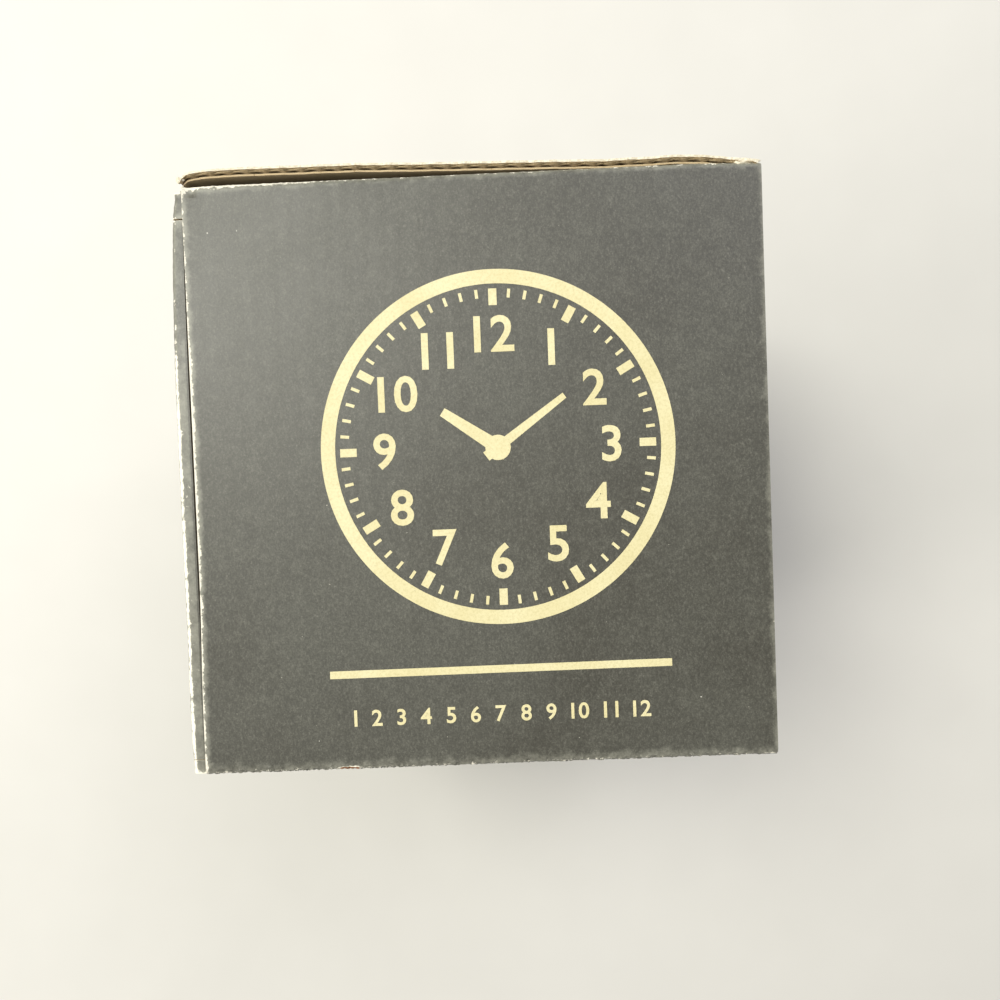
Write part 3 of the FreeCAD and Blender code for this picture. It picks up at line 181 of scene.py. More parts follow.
# Flexographic ink under a water-based varnish, on bleached top liner: a dull dark grey, cloudy in patches and
# speckled by the paper's fibres and pores, with a low satin gloss and pale frayed edges.
board_print, tree, where = new_material("printed_board_flexo_ink")
edge = add(tree, "Attribute")
streaked = add(tree, "VectorMath", where, (1.0, 0.6, 0.6), operation="MULTIPLY")
patches = add(tree, "TexNoise", where, PER_MM / 26.0, 4.0)
mottle = add(tree, "TexNoise", where, PER_MM / 2.2, 5.0, 0.7, 4.0)
fibre = add(tree, "TexNoise", streaked, PER_MM / 0.42, 5.0, 0.75, 2.0)
frays = add(tree, "TexNoise", where, PER_MM / 1.3, 6.0, 0.8, 5.0)
specks = add(tree, "TexNoise", where, PER_MM / 0.6, 2.0, 0.5, 8.0)
pores = add(tree, "TexNoise", where, PER_MM / 0.26, 2.0, 0.6, 11.0)
# Where the ink lies thin, and where it has gone altogether. At the tuck fold both also paint a highlight,
# palest at its left end.
thin_ink_and_highlight = add(tree, "Math", mottle, -3.2, edge)
bare_paper_and_highlight = add(tree, "Math", frays, -5.0, 2.55)
bare_paper_and_highlight = add(tree, "Math", edge, 1.3, bare_paper_and_highlight)
worn = add(tree, "MapRange", bare_paper_and_highlight, 0.06, -0.16)
ink = colour("413f37")
for field, low, high, code, share in (
        (patches, 0.3, 0.7, "494840", 1.0), (mottle, 0.42, 0.75, "706f64", 0.22),
        (fibre, 0.42, 0.72, "7b796f", 0.36), (pores, 0.6, 0.34, "2b2a25", 0.45),
        (pores, 0.6, 0.78, "8d8b80", 0.3), (thin_ink_and_highlight, 0.0, -1.9, "a09e90", 0.5),
        (bare_paper_and_highlight, 0.06, -0.16, "dcd6c6", 1.0), (edge, -1.0, -1.8, "8f5f38", 1.0),
        (specks, 0.775, 0.8, "c9c4b4", 0.7)):
    ink = layer(tree, ink, field, low, high, code, share)
for x, y, radius in NICKS:
    away = add(tree, "VectorMath", where, (x * MM, y * MM, TOP * MM), output="Value", operation="DISTANCE")
    rough_rim = add(tree, "Math", frays, 0.9 * radius * MM, away)
    ink = layer(tree, ink, rough_rim, radius * 1.15 * MM, radius * 0.85 * MM, "d6d2c6", 0.85)
gloss = add(tree, "MapRange", patches, 0.3, 0.7, 0.36, 0.43)
gloss = add(tree, "Math", fibre, 0.12, gloss)
gloss = add(tree, "Math", worn, 0.35, gloss)
height = add(tree, "Math", mottle, 1.6, fibre)
height = add(tree, "Math", worn, -0.8, height)
close_material(tree, {"Base Color": ink, "Roughness": gloss}, height, 0.016)
print("printed board with", len(NICKS), "nicks and", len(tree.nodes), "shader nodes")


# %% Bare papers
def paper(name, fields, base, layers, looks, depth_mm):
    """A bare paper: colours laid over each other by fields of noise. A field is the width of its blobs in
    millimetres, detail, roughness and seed, and the one named fibre also gives the bump."""
    made, tree, where = new_material(name)
    at = {key: add(tree, "TexNoise", where, PER_MM / width, *rest) for key, (width, *rest) in fields.items()}
    at["edge"] = add(tree, "Attribute")
    body = colour(base)
    for key, low, high, code, share in layers:
        body = layer(tree, body, at[key], low, high, code, share)
    close_material(tree, {"Base Color": body, **looks}, at["fibre"], depth_mm)
    return made


# Unprinted kraft liner from the paper machine, on every inner face: warm brown, matt, with stray fibres.
board_kraft = paper("kraft_liner_uncoated",
                    {"patches": (9.0, 4.0), "fibre": (0.4, 5.0, 0.75, 1.0), "flecks": (0.9, 1.0, 0.5, 6.0)},
                    "b09a76", [("patches", 0.25, 0.75, "baa582", 1.0), ("fibre", 0.35, 0.7, "cebc9b", 0.5),
                               ("flecks", 0.72, 0.76, "6f5233", 0.6), ("edge", 0.5, 0.0, "d6c6a8", 0.4)],
                    {"Roughness": 0.86, "Specular IOR Level": 0.3}, 0.03)
# The wavy middle sheet, recycled kraft: darker, because light hardly reaches it.
board_flute = paper("kraft_medium_recycled", {"fibre": (0.5, 4.0, 0.7)}, "a08a67",
                    [("fibre", 0.3, 0.7, "bfab88", 1.0)],
                    {"Roughness": 0.92, "Specular IOR Level": 0.2}, 0.04)
# The cut edge of the bleached top liner, fuzzed by the cutting die: pale, rough and without gloss.
board_cut = paper("bleached_liner_die_cut", {"fibre": (0.5, 5.0, 0.8)}, "bdb197",
                  [("fibre", 0.35, 0.65, "e6dfcc", 1.0)], {"Roughness": 0.9, "Specular IOR Level": 0.2}, 0.05)
# Bare kraft-coloured print, left where the dark ink is knocked out: a pale tan, pitted by stray ink.
print_cream = paper("knocked_out_print_kraft_tint",
                    {"patches": (9.0, 3.0), "fibre": (0.5, 5.0, 0.75, 2.0), "pits": (0.7, 4.0, 0.7, 9.0)},
                    "ccc193", [("patches", 0.3, 0.7, "d4cba2", 1.0), ("fibre", 0.4, 0.72, "b2a676", 0.6),
                               ("pits", 0.66, 0.74, "8f8366", 0.75)], {"Roughness": 0.55}, 0.02)
BOARD_SKINS = [board_print, board_kraft, board_flute, board_cut]
PRINT, KRAFT, FLUTE, CUT = range(4)
print("board materials", [m.name for m in BOARD_SKINS])


# %% [markdown]
# ## Mesh helpers
# A surface is a grid of points worked out all at once with numpy. Two grids a sheet's thickness apart, closed
# round their rims, make a slab, and three slabs make corrugated board. The board follows any skin function,
# which turns a place along the flutes, a place across them and a depth into a point.

# %% Helpers for meshes
SHARP_ANGLE = math.radians(35.0)


def smooth(value, low, high):
    """0 below low, 1 above high, and 3t^2 - 2t^3 between them."""
    t = np.clip((value - low) / (high - low), 0, 1)
    return t * t * (3 - 2 * t)


def nearest(*distances):
    """The smallest of several distances at each place."""
    return np.minimum.reduce(np.broadcast_arrays(*distances))


def slab(front, behind, skins, edge):
    """The closed sheet between two grids: points, four-cornered faces, each face's material and each point's
    distance to the nearest cut. skins is one material, or four: front, behind, rows' ends, columns' ends."""
    near = np.arange(front[..., 0].size).reshape(front.shape[:2])
    far = near + near.size
    faces, picks = [], []
    for side, grid in ((0, near), (1, far[:, ::-1]), (2, np.stack([near[0], far[0]], 1)),
                       (2, np.stack([far[-1], near[-1]], 1)), (3, np.stack([far[:, 0], near[:, 0]], 1)),
                       (3, np.stack([near[:, -1], far[:, -1]], 1))):
        cells = np.stack([grid[:-1, :-1], grid[1:, :-1], grid[1:, 1:], grid[:-1, 1:]], -1).reshape(-1, 4)
        faces.append(cells)
        picks.append(np.full(len(cells), np.broadcast_to(skins, 4)[side]))
    return (np.concatenate([front.reshape(-1, 3), behind.reshape(-1, 3)]), np.concatenate(faces),
            np.concatenate(picks), np.tile(np.broadcast_to(edge, near.shape).ravel(), 2))


def put(name, data):
    """A new object in the scene."""
    made = bpy.data.objects.new(name, data)
    bpy.context.scene.collection.objects.link(made)
    return made


def make_piece(name, parts, body, replaces=(), skins=BOARD_SKINS):
    """One mesh object from parts of (points in mm, faces, material index per face, edge value per point). No
    lump of crushed paper may stand out of the CAD box, so points are held back at its sides."""
    points, faces, picks, edges, start = [], [], [], [], 0
    for part_points, part_faces, part_picks, part_edges in parts:
        points.append(part_points)
        faces.append(part_faces + start)
        picks.append(np.broadcast_to(part_picks, len(part_faces)))
        edges.append(np.broadcast_to(part_edges, len(part_points)))
        start += len(part_points)
    points = np.clip(np.concatenate(points), (LEFT, FRONT, 0.0), (RIGHT, BACK, TOP)) * MM
    mesh = bpy.data.meshes.new(name)
    mesh.from_pydata(points.tolist(), [], np.concatenate(faces).tolist())
    mesh.polygons.foreach_set("material_index", np.concatenate(picks).astype(np.int32))
    distance = mesh.attributes.new("edge", "FLOAT", "POINT")
    distance.data.foreach_set("value", np.concatenate(edges).astype(np.float32))
    for skin in skins:
        mesh.materials.append(skin)
    work = bmesh.new()
    work.from_mesh(mesh)
    bmesh.ops.recalc_face_normals(work, faces=work.faces)
    work.to_mesh(mesh)
    work.free()
    mesh.shade_smooth()
    mesh.set_sharp_from_angle(angle=SHARP_ANGLE)
    made = put(name, mesh)
    if body:
        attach(made, body)
    if replaces:
        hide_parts(*replaces)
    return made


def flute_wave(across):
    """-1..1 along the flutes' wave at a place across them."""
    return np.sin(2 * math.pi * across / PITCH)


def board_parts(skin, along, low, high, edge, thickness=BOARD, steps=6, outside=PRINT):
    """The three sheets of corrugated board: outer liner, inner liner and wavy medium.

    along is the places along the flutes, low and high the board's limits across them at each of those places,
    edge a function of both giving the distance to the nearest fold or cut, thickness the board's thickness at
    each place along, and steps the liners' cells to a flute.
    """
    thickness, low, high = (np.broadcast_to(v, along.shape)[:, None] for v in (thickness, low, high))

    def grid(per_flute):
        count = max(int(float(np.max(high - low)) / PITCH * per_flute), 8)
        w = low + (high - low) * np.linspace(0, 1, count + 1)
        return np.broadcast_to(along[:, None], w.shape), w, np.broadcast_to(thickness, w.shape)

    s, w, thick = grid(steps)
    dent = FLUTE_SHOW * (1 - flute_wave(w))
    outer = slab(skin(s, w, dent), skin(s, w, dent + LINER), (outside, KRAFT, CUT, CUT), edge(s, w))
    dent = 2.5 * FLUTE_SHOW * (1 + flute_wave(w))
    inner = slab(skin(s, w, thick - LINER), skin(s, w, thick - dent), (FLUTE, KRAFT, KRAFT, KRAFT),
                 edge(s, w))
    s, w, thick = grid(8)
    middle = thick / 2 + flute_wave(w) * np.maximum((thick - 2 * LINER - MEDIUM) / 2, 0)
    medium = slab(skin(s, w, middle - MEDIUM / 2), skin(s, w, middle + MEDIUM / 2), FLUTE, edge(s, w))
    return [outer, inner, medium]


def triangles(*objects):
    """How many triangles each object has."""
    return [sum(len(p.vertices) - 2 for p in obj.data.polygons) for obj in objects]


print("flutes every", PITCH, "mm, swinging", round(SWING, 3), "mm either way")


# %% [markdown]
# ## How the board has given way
# Corrugated board is never flat after shipping. Near its top the back wall leans in and bulges, and the left
# wall is pinched at the back corner. One displacement field moves every point near these walls, so that
# pieces which meet there stay together.

# %% The displacement field
# The top edges' lines: the back wall's y at places along x, and the left wall's x at places along y.
BACK_X = [-54.0, -52.5, -51.3, -49.9, -47.6, -43.9, -37.7, -30.9, -19.6, -7.5, 17.7, 24.9, 34.9, 38.9,
          42.8, 46.8, 48.7, 53.5, 54.0]
BACK_Y = [53.0, 53.2, 53.7, 54.6, 54.95, 55.15, 55.2, 55.15, 55.15, 54.8, 54.3, 54.1, 54.25, 54.4,
          54.2, 53.8, 53.5, 52.9, 52.8]
SIDE_Y = [-55.25, -48.9, -39.6, -30.0, -6.0, 18.9, 26.6, 35.8, 44.3, 47.6, 52.3, 55.25]
SIDE_X = [-53.7, -53.95, -54.0, -53.9, -53.95, -53.9, -53.75, -53.5, -53.1, -52.85, -52.4, -52.6]
FIRM = 88.0  # below this height the walls are straight
LEAN_MOST = 1.25  # what the back wall leans in by on its whole way up; the rest comes at its lip


def give_way(points):
    """Moves points of the walls: inwards to the top edge's line, fading out down the wall and away
    from it. The last 3 mm of the back wall lean in more than the rest."""
    x, y, z = np.moveaxis(points, -1, 0)
    back = BACK - np.interp(x, BACK_X, BACK_Y)
    broad = np.minimum(back, LEAN_MOST)
    near_back = smooth(y, BACK - 8.0, BACK - 2.0)
    near_left = 1 - smooth(x, LEFT + 0.5, LEFT + 4.0)
    moved = points.copy()
    moved[..., 1] -= near_back * (broad * smooth(z, FIRM, 141.0) + (back - broad) * smooth(z, 137.5, 141.5))
    moved[..., 0] += near_left * (np.interp(y, SIDE_Y, SIDE_X) - LEFT) * smooth(z, FIRM, 139.5)
    return moved


def pressed(depth, share):
    """A depth in the board near a cut: by the share, the hollow middle is crushed and the liners swell."""
    liners = np.clip(depth, 0, LINER) + np.clip(depth - BOARD + LINER, 0, LINER)
    middle = np.clip(depth - LINER, 0, BOARD - 2 * LINER)
    return liners * (1 + 0.4 * share) + middle * (1 - 0.76 * share)


LUMP = 0.3  # the width of a lump of crushed paper
LUMPS = np.random.default_rng(7).uniform(-1, 1, (420, 16))


def crumple(along, across):
    """-1..1: small random lumps of crushed paper, mixed linearly from a table with a place for each."""
    i, j = np.clip(along / LUMP + 200, 0, 418), np.clip(across / LUMP, 0, 14)
    i0, j0 = i.astype(int), j.astype(int)
    u, v = i - i0, j - j0
    return ((LUMPS[i0, j0] * (1 - u) + LUMPS[i0 + 1, j0] * u) * (1 - v)
            + (LUMPS[i0, j0 + 1] * (1 - u) + LUMPS[i0 + 1, j0 + 1] * u) * v)


def rolled(z, top, radius):
    """How far an edge is rolled in at a height, by a quarter circle, and how crushed it is there, 0..1."""
    rise = np.clip(radius - (top - z), 0, radius)
    return radius - np.sqrt(radius**2 - rise**2), rise / radius


print("the back wall leans in by", round(BACK - min(BACK_Y), 2), "mm at most")


# %% [markdown]
# ## The sleeve
# The four walls and the glue tab are one strip of board, folded round and glued inside the left wall. The
# strip's path seen from above is a rectangle with small round corners, walked anticlockwise from the left
# wall's cut end to the tab's. A point on it is a place along the path, a height and a depth.

# %% The sleeve's path
TAB_X, TAB_WIDTH, TAB_TAPER = LEFT + BOARD, 22.0, 6.0
path_corners = np.array([(LEFT, BACK), (LEFT, FRONT), (RIGHT, FRONT), (RIGHT, BACK), (TAB_X, BACK),
                         (TAB_X, TAB_LOW[1])])
path_points, path_normals, path_walls = [], [], []
for i, (start, end) in enumerate(zip(path_corners, path_corners[1:])):
    ahead = (end - start) / np.linalg.norm(end - start)
    outward = np.array([ahead[1], -ahead[0]])
    first = start + ahead * (FOLD_ROUND if i > 0 else 0.0)
    last = end - ahead * (FOLD_ROUND if i < 4 else 0.0)
    count = int(np.linalg.norm(last - first) / (PITCH / 6)) + 1
    path_points.append(first + (last - first) * np.linspace(0, 1, count + 1)[:, None])
    path_normals.append(np.repeat(outward[None], count + 1, 0))
    path_walls.append(np.full(count + 1, i))
    if i < 4:
        turn = np.radians(np.linspace(0, 90, 8)[1:-1])[:, None]
        normals = outward * np.cos(turn) + ahead * np.sin(turn)
        path_points.append(last - outward * FOLD_ROUND + normals * FOLD_ROUND)
        path_normals.append(normals)
        path_walls.append(np.full(len(turn), i + 0.5))
path_points, path_normals, path_walls = map(np.concatenate, (path_points, path_normals, path_walls))
path_length = np.concatenate([[0], np.cumsum(np.linalg.norm(np.diff(path_points, axis=0), axis=1))])
corner_places = np.array([path_length[path_walls == i + 0.5].mean() for i in range(4)])
SLEEVE = path_length[-1]
print("path", round(SLEEVE, 1), "mm round, with corners at", corner_places.round(1))


# %% The walls' heights
def wall_number(along):
    """Which wall a place on the path lies in: 0 left, 1 front, 2 right, 3 back, 4 tab."""
    return np.searchsorted(corner_places, along)


def tab_taper(along):
    """How far the glue tab is cut back at its top and bottom, growing evenly to its end."""
    return TAB_TAPER * np.clip((along - corner_places[3]) / TAB_WIDTH, 0, 1)


def beside_lid(along):
    """Whether a place on the path lies left or right of the lid."""
    x = np.interp(along, path_length, path_points[:, 0])
    return (x <= LID_LOW[0]) | (x >= LID_HIGH[0])


def wall_bottom(along):
    """The wall's lowest height: the side walls stand on two layers of bottom flaps, the back one on one."""
    return np.choose(wall_number(along), [2 * BOARD, 0.0, 2 * BOARD, BOARD, TAB_LOW[2] + tab_taper(along)])


def wall_top(along):
    """The wall's highest height: folded walls end where their crease begins, and the back wall is cut."""
    x = np.interp(along, path_length, path_points[:, 0])
    side = DUST_TOP - SIDE_REACH
    front = np.where(beside_lid(along), TOP - 1.2, LID_Z - FOLD_REACH)
    back = BACK_CUT + (0.06 * np.sin(x * 0.9) + 0.05 * np.sin(x * 2.3 + 1))
    return np.choose(wall_number(along), [side, front, side, back, TAB_HIGH[2] - tab_taper(along)])


def sleeve_skin(z, along, depth):
    """The point at a height, a place along the path and a depth: the path's point less its normal times the
    depth, drawn in along a quarter circle near a folded bottom edge. The front wall's stubs beside the lid
    are rolled in at their top, and the back wall's cut is crushed."""
    x, y, nx, ny = (np.interp(along, path_length, column) for column in (*path_points.T, *path_normals.T))
    rise = np.clip(z - wall_bottom(along), 0, FOLD_ROUND)
    tucked = FOLD_ROUND - np.sqrt(FOLD_ROUND**2 - (FOLD_ROUND - rise)**2)
    from_corner = np.min(np.abs(along[..., None] - corner_places), -1)
    top, wall = wall_top(along), wall_number(along)
    roll, crushed = rolled(z, top, 1.3)
    stub = (wall == 1) & beside_lid(along)
    depth = pressed(depth, (wall == 3) * smooth(z, top - 1.6, top)) * (1 - 0.85 * stub * crushed)
    inward = (depth + tucked * smooth(from_corner, 1.5, 4.0) + stub * roll) / np.hypot(nx, ny)
    return give_way(np.stack([x - nx * inward, y - ny * inward, z], -1))


def sleeve_edge(z, along):
    """Distance to the nearest upright fold, or to the top or bottom of the wall."""
    folds = np.min(np.abs(along[..., None] - corner_places), -1)
    folded_top = (wall_number(along) < 3) * (SIDE_REACH - 0.6)
    return nearest(folds + 0.25, along, SLEEVE - along, wall_top(along) - z + folded_top,
                   z - wall_bottom(along) + 0.3)


print("the back wall ends at", wall_top(path_length[path_walls == 3])[[0, -1]].round(2))

# %% The sleeve of four walls and the glue tab
share_rows = np.array([0, .003, .006, .01, .02, .05, .12, .22, .34, .46, .56, .64, .7, .76, .81, .86, .9, .93,
                       .955, .97, .98, .988, .994, 1])


def sleeve_parts():
    """The sleeve's outer liner, inner liner and medium, and the crushed paper between them in the back cut.
    Each sheet's depth is a near one plus a swing times the flutes' wave."""
    parts = []
    for near, thick, swing, places, rows, skins in (
            (FLUTE_SHOW, LINER, -FLUTE_SHOW, path_length, share_rows, (PRINT, KRAFT, CUT, CUT)),
            (BOARD - LINER, LINER, 0.0, path_length[::2], share_rows[::2], (FLUTE, KRAFT, KRAFT, KRAFT)),
            ((BOARD - MEDIUM) / 2, MEDIUM, SWING, np.linspace(0, SLEEVE, int(SLEEVE / PITCH * 8)),
             share_rows[[0, 5, 8, 12, 15, 17, 19, 21, 23]], FLUTE)):
        share, along = np.meshgrid(rows, places, indexing="ij")
        z = wall_bottom(along) + (wall_top(along) - wall_bottom(along)) * share
        depth = near + swing * flute_wave(along)
        parts.append(slab(sleeve_skin(z, along, depth), sleeve_skin(z, along, depth + thick), skins,
                          sleeve_edge(z, along)))
    depth, along = np.meshgrid(np.linspace(LINER, BOARD - LINER, 5),
                               np.arange(corner_places[2] + 2, corner_places[3] - 2, LUMP), indexing="ij")
    z = wall_top(along) - 0.3 + 0.14 * crumple(along - 300.0, depth * 4)
    parts.append(slab(sleeve_skin(z, along, depth), sleeve_skin(z - 0.2, along, depth), FLUTE, FAR))
    return parts


sleeve = make_piece("carton_sleeve", sleeve_parts(), "carton", (
    "carton_front_panel", "carton_back_panel", "carton_left_panel", "carton_right_panel", "carton_glue_tab"))
print("sleeve", *triangles(sleeve), "triangles")


# %% [markdown]
# ## Creases
# Where a flap is folded, the board is crushed and its outer liner is drawn round a small arc. A crease is a
# strip that lies half on the wall and half on the flap. Where it joins two bodies, it is left on neither of
# them.

# %% Helpers for creases
CRUSH = 0.5  # how much of the board's thickness is lost in a fold
# Small dents near the lid's rim: place, radius and depth.
DENTS = [(-49.3, 51.2, 1.1, 0.55), (-47.2, 50.4, 1.6, 0.12), (-30.0, -54.3, 2.2, 0.12),
         (10.0, -54.4, 3.0, 0.1), (42.0, -54.2, 2.4, 0.14), (38.0, 51.6, 3.0, 0.1), (-12.0, 51.8, 4.0, 0.08)]


def dented(points):
    """Pushes the lid and its creases down in a few small dents: each sinks by its depth times
    exp(-(distance / radius)^2)."""
    moved = points.copy()
    for x, y, radius, deep in DENTS:
        away = ((points[..., 0] - x)**2 + (points[..., 1] - y)**2) / radius**2
        moved[..., 2] -= deep * np.exp(-away) * smooth(points[..., 2], TOP - 4, TOP - 1)
    return moved


def crease_skin(corner, first, second, axis, reach=FOLD_REACH, radius=FOLD_ROUND):
    """A skin that runs along the first direction to the corner, round an arc, and off along the second.

    corner is where the two outer faces would meet, first and second are unit directions in the section, and
    axis is the fold's direction. Returns the skin, and the length of its section.
    """
    turn = math.acos(float(np.clip(first @ second, -1, 1)))
    tangent = radius * math.tan(turn / 2)
    inward = (second - first * (first @ second)) / math.sin(turn)
    centre = corner - first * tangent + inward * radius
    straight, arc = reach - tangent, radius * turn

    def skin(s, w, depth):
        angle = np.clip((s - straight) / radius, 0, turn)[..., None]
        normal = first * np.sin(angle) - inward * np.cos(angle)
        before = corner + first * (np.minimum(s, straight) - reach)[..., None]
        base = np.where((s < straight)[..., None], before, centre + normal * radius)
        after = second * np.maximum(s - straight - arc, 0)[..., None]
        return base + after - normal * depth[..., None] + axis * w[..., None]

    return skin, 2 * straight + arc


def crease(name, corner, first, second, axis, low, high, bodies, wear, field=False, radius=FOLD_ROUND,
           reach=FOLD_REACH, line=0.5, slope=0.75, lumps=0.03, fresh=(0.0, 0.0, 1.0), faded=FAR, crack=None,
           bow=None, slant=None, swell=0.0):
    """A crushed crease between two bodies, or a stub of one on a single body, with its ends cut square.

    wear is how far off the edge values start at the fold and at the two cut ends: the lower, the more the ink
    is rubbed off. At the tuck fold this pale line is partly real wear and partly a painted highlight. line is
    where the rubbed line runs in the section and slope how fast it ends beside it, faded the highest edge
    value left beyond it, lumps how far the paper is crumpled, and fresh how much less it is rubbed beyond the
    second place along it, growing from the first. crack holds the places where the liner has split, bow how
    far the corner lies beyond its straight line at each place, slant how far points lie off to the left, and
    swell how far the fold is pushed up.
    """
    skin, length = crease_skin(corner, first, second, axis, reach, radius)
    along = np.linspace(0, length, 15)
    thick = BOARD - CRUSH * (1 - smooth(np.abs(along / length - 0.5) * 2, 0.35, 0.95))

    def placed(s, w, depth):
        near_fold = 1 - smooth(np.abs(s - length / 2), 0.4, 1.5)
        points = skin(s, w, depth - lumps * near_fold * crumple(w, s))
        if bow:
            points += first * bow(w)[..., None]
        if slant:
            points[..., 0] -= slant(points[..., 0], points[..., 1])
        points[..., 2] += swell * smooth(s, 0, 1) * (1 - smooth(s, length - 0.4, length))
        return give_way(points) if field else dented(points)

    def edge(s, w):
        past = s - length * line
        cap = faded + 4.0 * (smooth(past, 1.7, 2.6) + smooth(-past, 0.1, 0.9))
        from_fold = np.minimum(np.abs(past) * slope + wear[0], cap) + fresh[0] * smooth(w, *fresh[1:])
        value = nearest(from_fold, w - low + wear[1], high - w + wear[2])
        if crack:
            split = smooth(w, crack[0], crack[0] + 2) * smooth(-w, -crack[1], 2 - crack[1])
            value -= 3.5 * split * (1 - smooth(np.abs(s - length * 0.48), 0.2, 0.6))
        return value

    made = make_piece(name, board_parts(placed, along, low, high, edge, thick, steps=12),
                      None if len(bodies) == 2 else bodies[0])
    if len(bodies) == 2:
        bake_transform(made)
    return made


def tuck_bow(x):
    """How far the lid's tucked edge bows out beyond its CAD line: most at the right, where it was forced."""
    return np.interp(x, [-54.0, -20.0, 7.0, 42.0, 54.0], [0.12, 0.36, 0.52, 0.78, 0.45])


def cut_slant(x, y):
    """How far the lid's left cut runs out beyond its CAD line near the front."""
    return 0.45 * smooth(-y, 18.0, 46.0) * smooth(-x, -LID_LOW[0] - 6.0, -LID_LOW[0])


print("a square fold takes", round(crease_skin((0, 0, 0), Z, Y, X)[1], 2), "mm")

# %% The creases
LEAN = math.radians(8.0)
DOWN = -Y * math.sin(LEAN) - Z * math.cos(LEAN)
TUCK_INWARD = -Y * math.cos(LEAN) + Z * math.sin(LEAN)
# The dust flaps' folds stand almost as high as the lid.
SIDE_SWELL = LID_Z - 0.5 - DUST_TOP
SIDES = (("left", LEFT, X), ("right", RIGHT, -X))

creases = [
    crease("lid_crease", (0, FRONT, LID_Z), Z, Y, X, LID_LOW[0], LID_HIGH[0], ("carton", "lid"),
           (0.05, -0.3, 0.5), lumps=0.2, crack=(-27.6, -22.2), slant=cut_slant),
    # The tuck fold's pale rubbed line is partly real wear and partly a painted highlight, palest at its left
    # end; fresh fades it towards the right.
    crease("tuck_crease", (0, LID_HIGH[1], LID_Z), Y, DOWN, X, LID_LOW[0], LID_HIGH[0], ("lid", "tuck"),
           (-0.75, -0.4, 0.4), radius=1.0, slope=1.3, lumps=0.06, fresh=(0.7, -50.0, -14.0), bow=tuck_bow)]
for side, x, inward in SIDES:
    for name, low, high, bodies, ends in (
            (f"dust_{side}_crease", DUST_LOW[1], DUST_HIGH[1], ("carton", f"dust_{side}"), (0.3, 0.1)),
            (f"{side}_front_stub", FRONT + 0.35, DUST_LOW[1] - 0.15, ("carton",), (-0.5, 0.1)),
            (f"{side}_back_stub", DUST_HIGH[1] + 0.3, BACK - 1.9, ("carton",), (-0.1, -0.2))):
        creases.append(crease(name, (x, 0, DUST_TOP), Z, inward, Y, low, high, bodies, (-0.75, *ends),
                              field=True, radius=0.8, reach=SIDE_REACH, line=0.55, slope=2.0,
                              fresh=(0.75, 15.0, 30.0), faded=0.45, lumps=0.05, swell=SIDE_SWELL))
print("creases", triangles(*creases))


# %% Curls of torn liner
def fray(name, centre, radii, seed):
    """A curl of torn liner: a squashed ball whose radius follows slow waves round it."""
    u, v = np.meshgrid(np.linspace(0.02, math.pi - 0.02, 15), np.linspace(0, 2 * math.pi, 25), indexing="ij")
    swell = 1 + 0.16 * np.sin(3 * v + seed) * np.sin(u)**2 + 0.1 * np.cos(5 * v + 2 * seed) * np.sin(2 * u)
    ball = np.stack([np.sin(u) * np.cos(v), np.sin(u) * np.sin(v), np.cos(u)], -1)
    curl = ball * swell[..., None] * np.array(radii)
    return make_piece(name, [slab(centre + curl, centre + curl * 0.8, 0, 0.0)], "carton", skins=[board_cut])


print("frays", triangles(fray("corner_fray", (-51.2, 53.5, 141.2), (0.75, 0.6, 0.5), 1.0),
                         fray("far_corner_fray", (51.2, 52.9, 141.45), (2.35, 0.5, 0.35), 2.0),
                         fray("near_corner_fray", (-51.6, -54.6, 140.0), (1.3, 0.45, 0.6), 3.0)))


# %% [markdown]
# ## Lid, tuck flap and dust flaps
# The lid is a flat panel with a slight belly, cut along its left and right sides. Its tuck flap narrows
# towards its end and leans in behind the dust flaps, which carry the lid from below.

# %% The lid
lid_rows = np.linspace(LID_LOW[1] + FOLD_REACH, LID_HIGH[1] - FOLD_REACH, 70)


def lid_height(x, y):
    """The lid's top: flat at its creases, with a shallow belly and slow waves between them."""
    u = np.clip((x - LID_LOW[0]) / (LID_HIGH[0] - LID_LOW[0]), 0, 1)
    v = np.clip((y - lid_rows[0]) / (lid_rows[-1] - lid_rows[0]), 0, 1)
    hold = smooth(v, 0, 0.12) * smooth(1 - v, 0, 0.12)
    return LID_Z - 0.1 * hold * (0.5 + 0.25 * np.sin(5.1 * u + 0.6) + 0.25 * np.cos(4.3 * v + 3.0 * u))


def lid_skin(s, w, depth):
    """The lid's point: s along y, w along x. It grows towards its bowed tuck edge, and its left cut runs out
    by the cutting die's slant towards the front."""
    y = s + tuck_bow(w) * (s - lid_rows[0]) / (lid_rows[-1] - lid_rows[0])
    return dented(np.stack([w - cut_slant(w, s), y, lid_height(w, s) - depth], -1))


def lid_edge(s, w):
    """Distance to the lid's cut sides and, less strictly, to its folds."""
    left = (w - LID_LOW[0]) * 1.5 - 0.65 + 0.4 * smooth(s, 20.0, 34.0) + 0.25 * smooth(-s, 10.0, 30.0)
    return nearest(left, LID_HIGH[0] - w + 0.5, (s - LID_LOW[1]) * 0.75 + 0.05,
                   (LID_HIGH[1] - s) * 0.75 + 0.3)


lid = make_piece("lid_board", board_parts(lid_skin, lid_rows, LID_LOW[0], LID_HIGH[0], lid_edge,
                                          BOARD - 0.02), "lid", ("lid_panel",))
print("lid", *triangles(lid), "triangles")


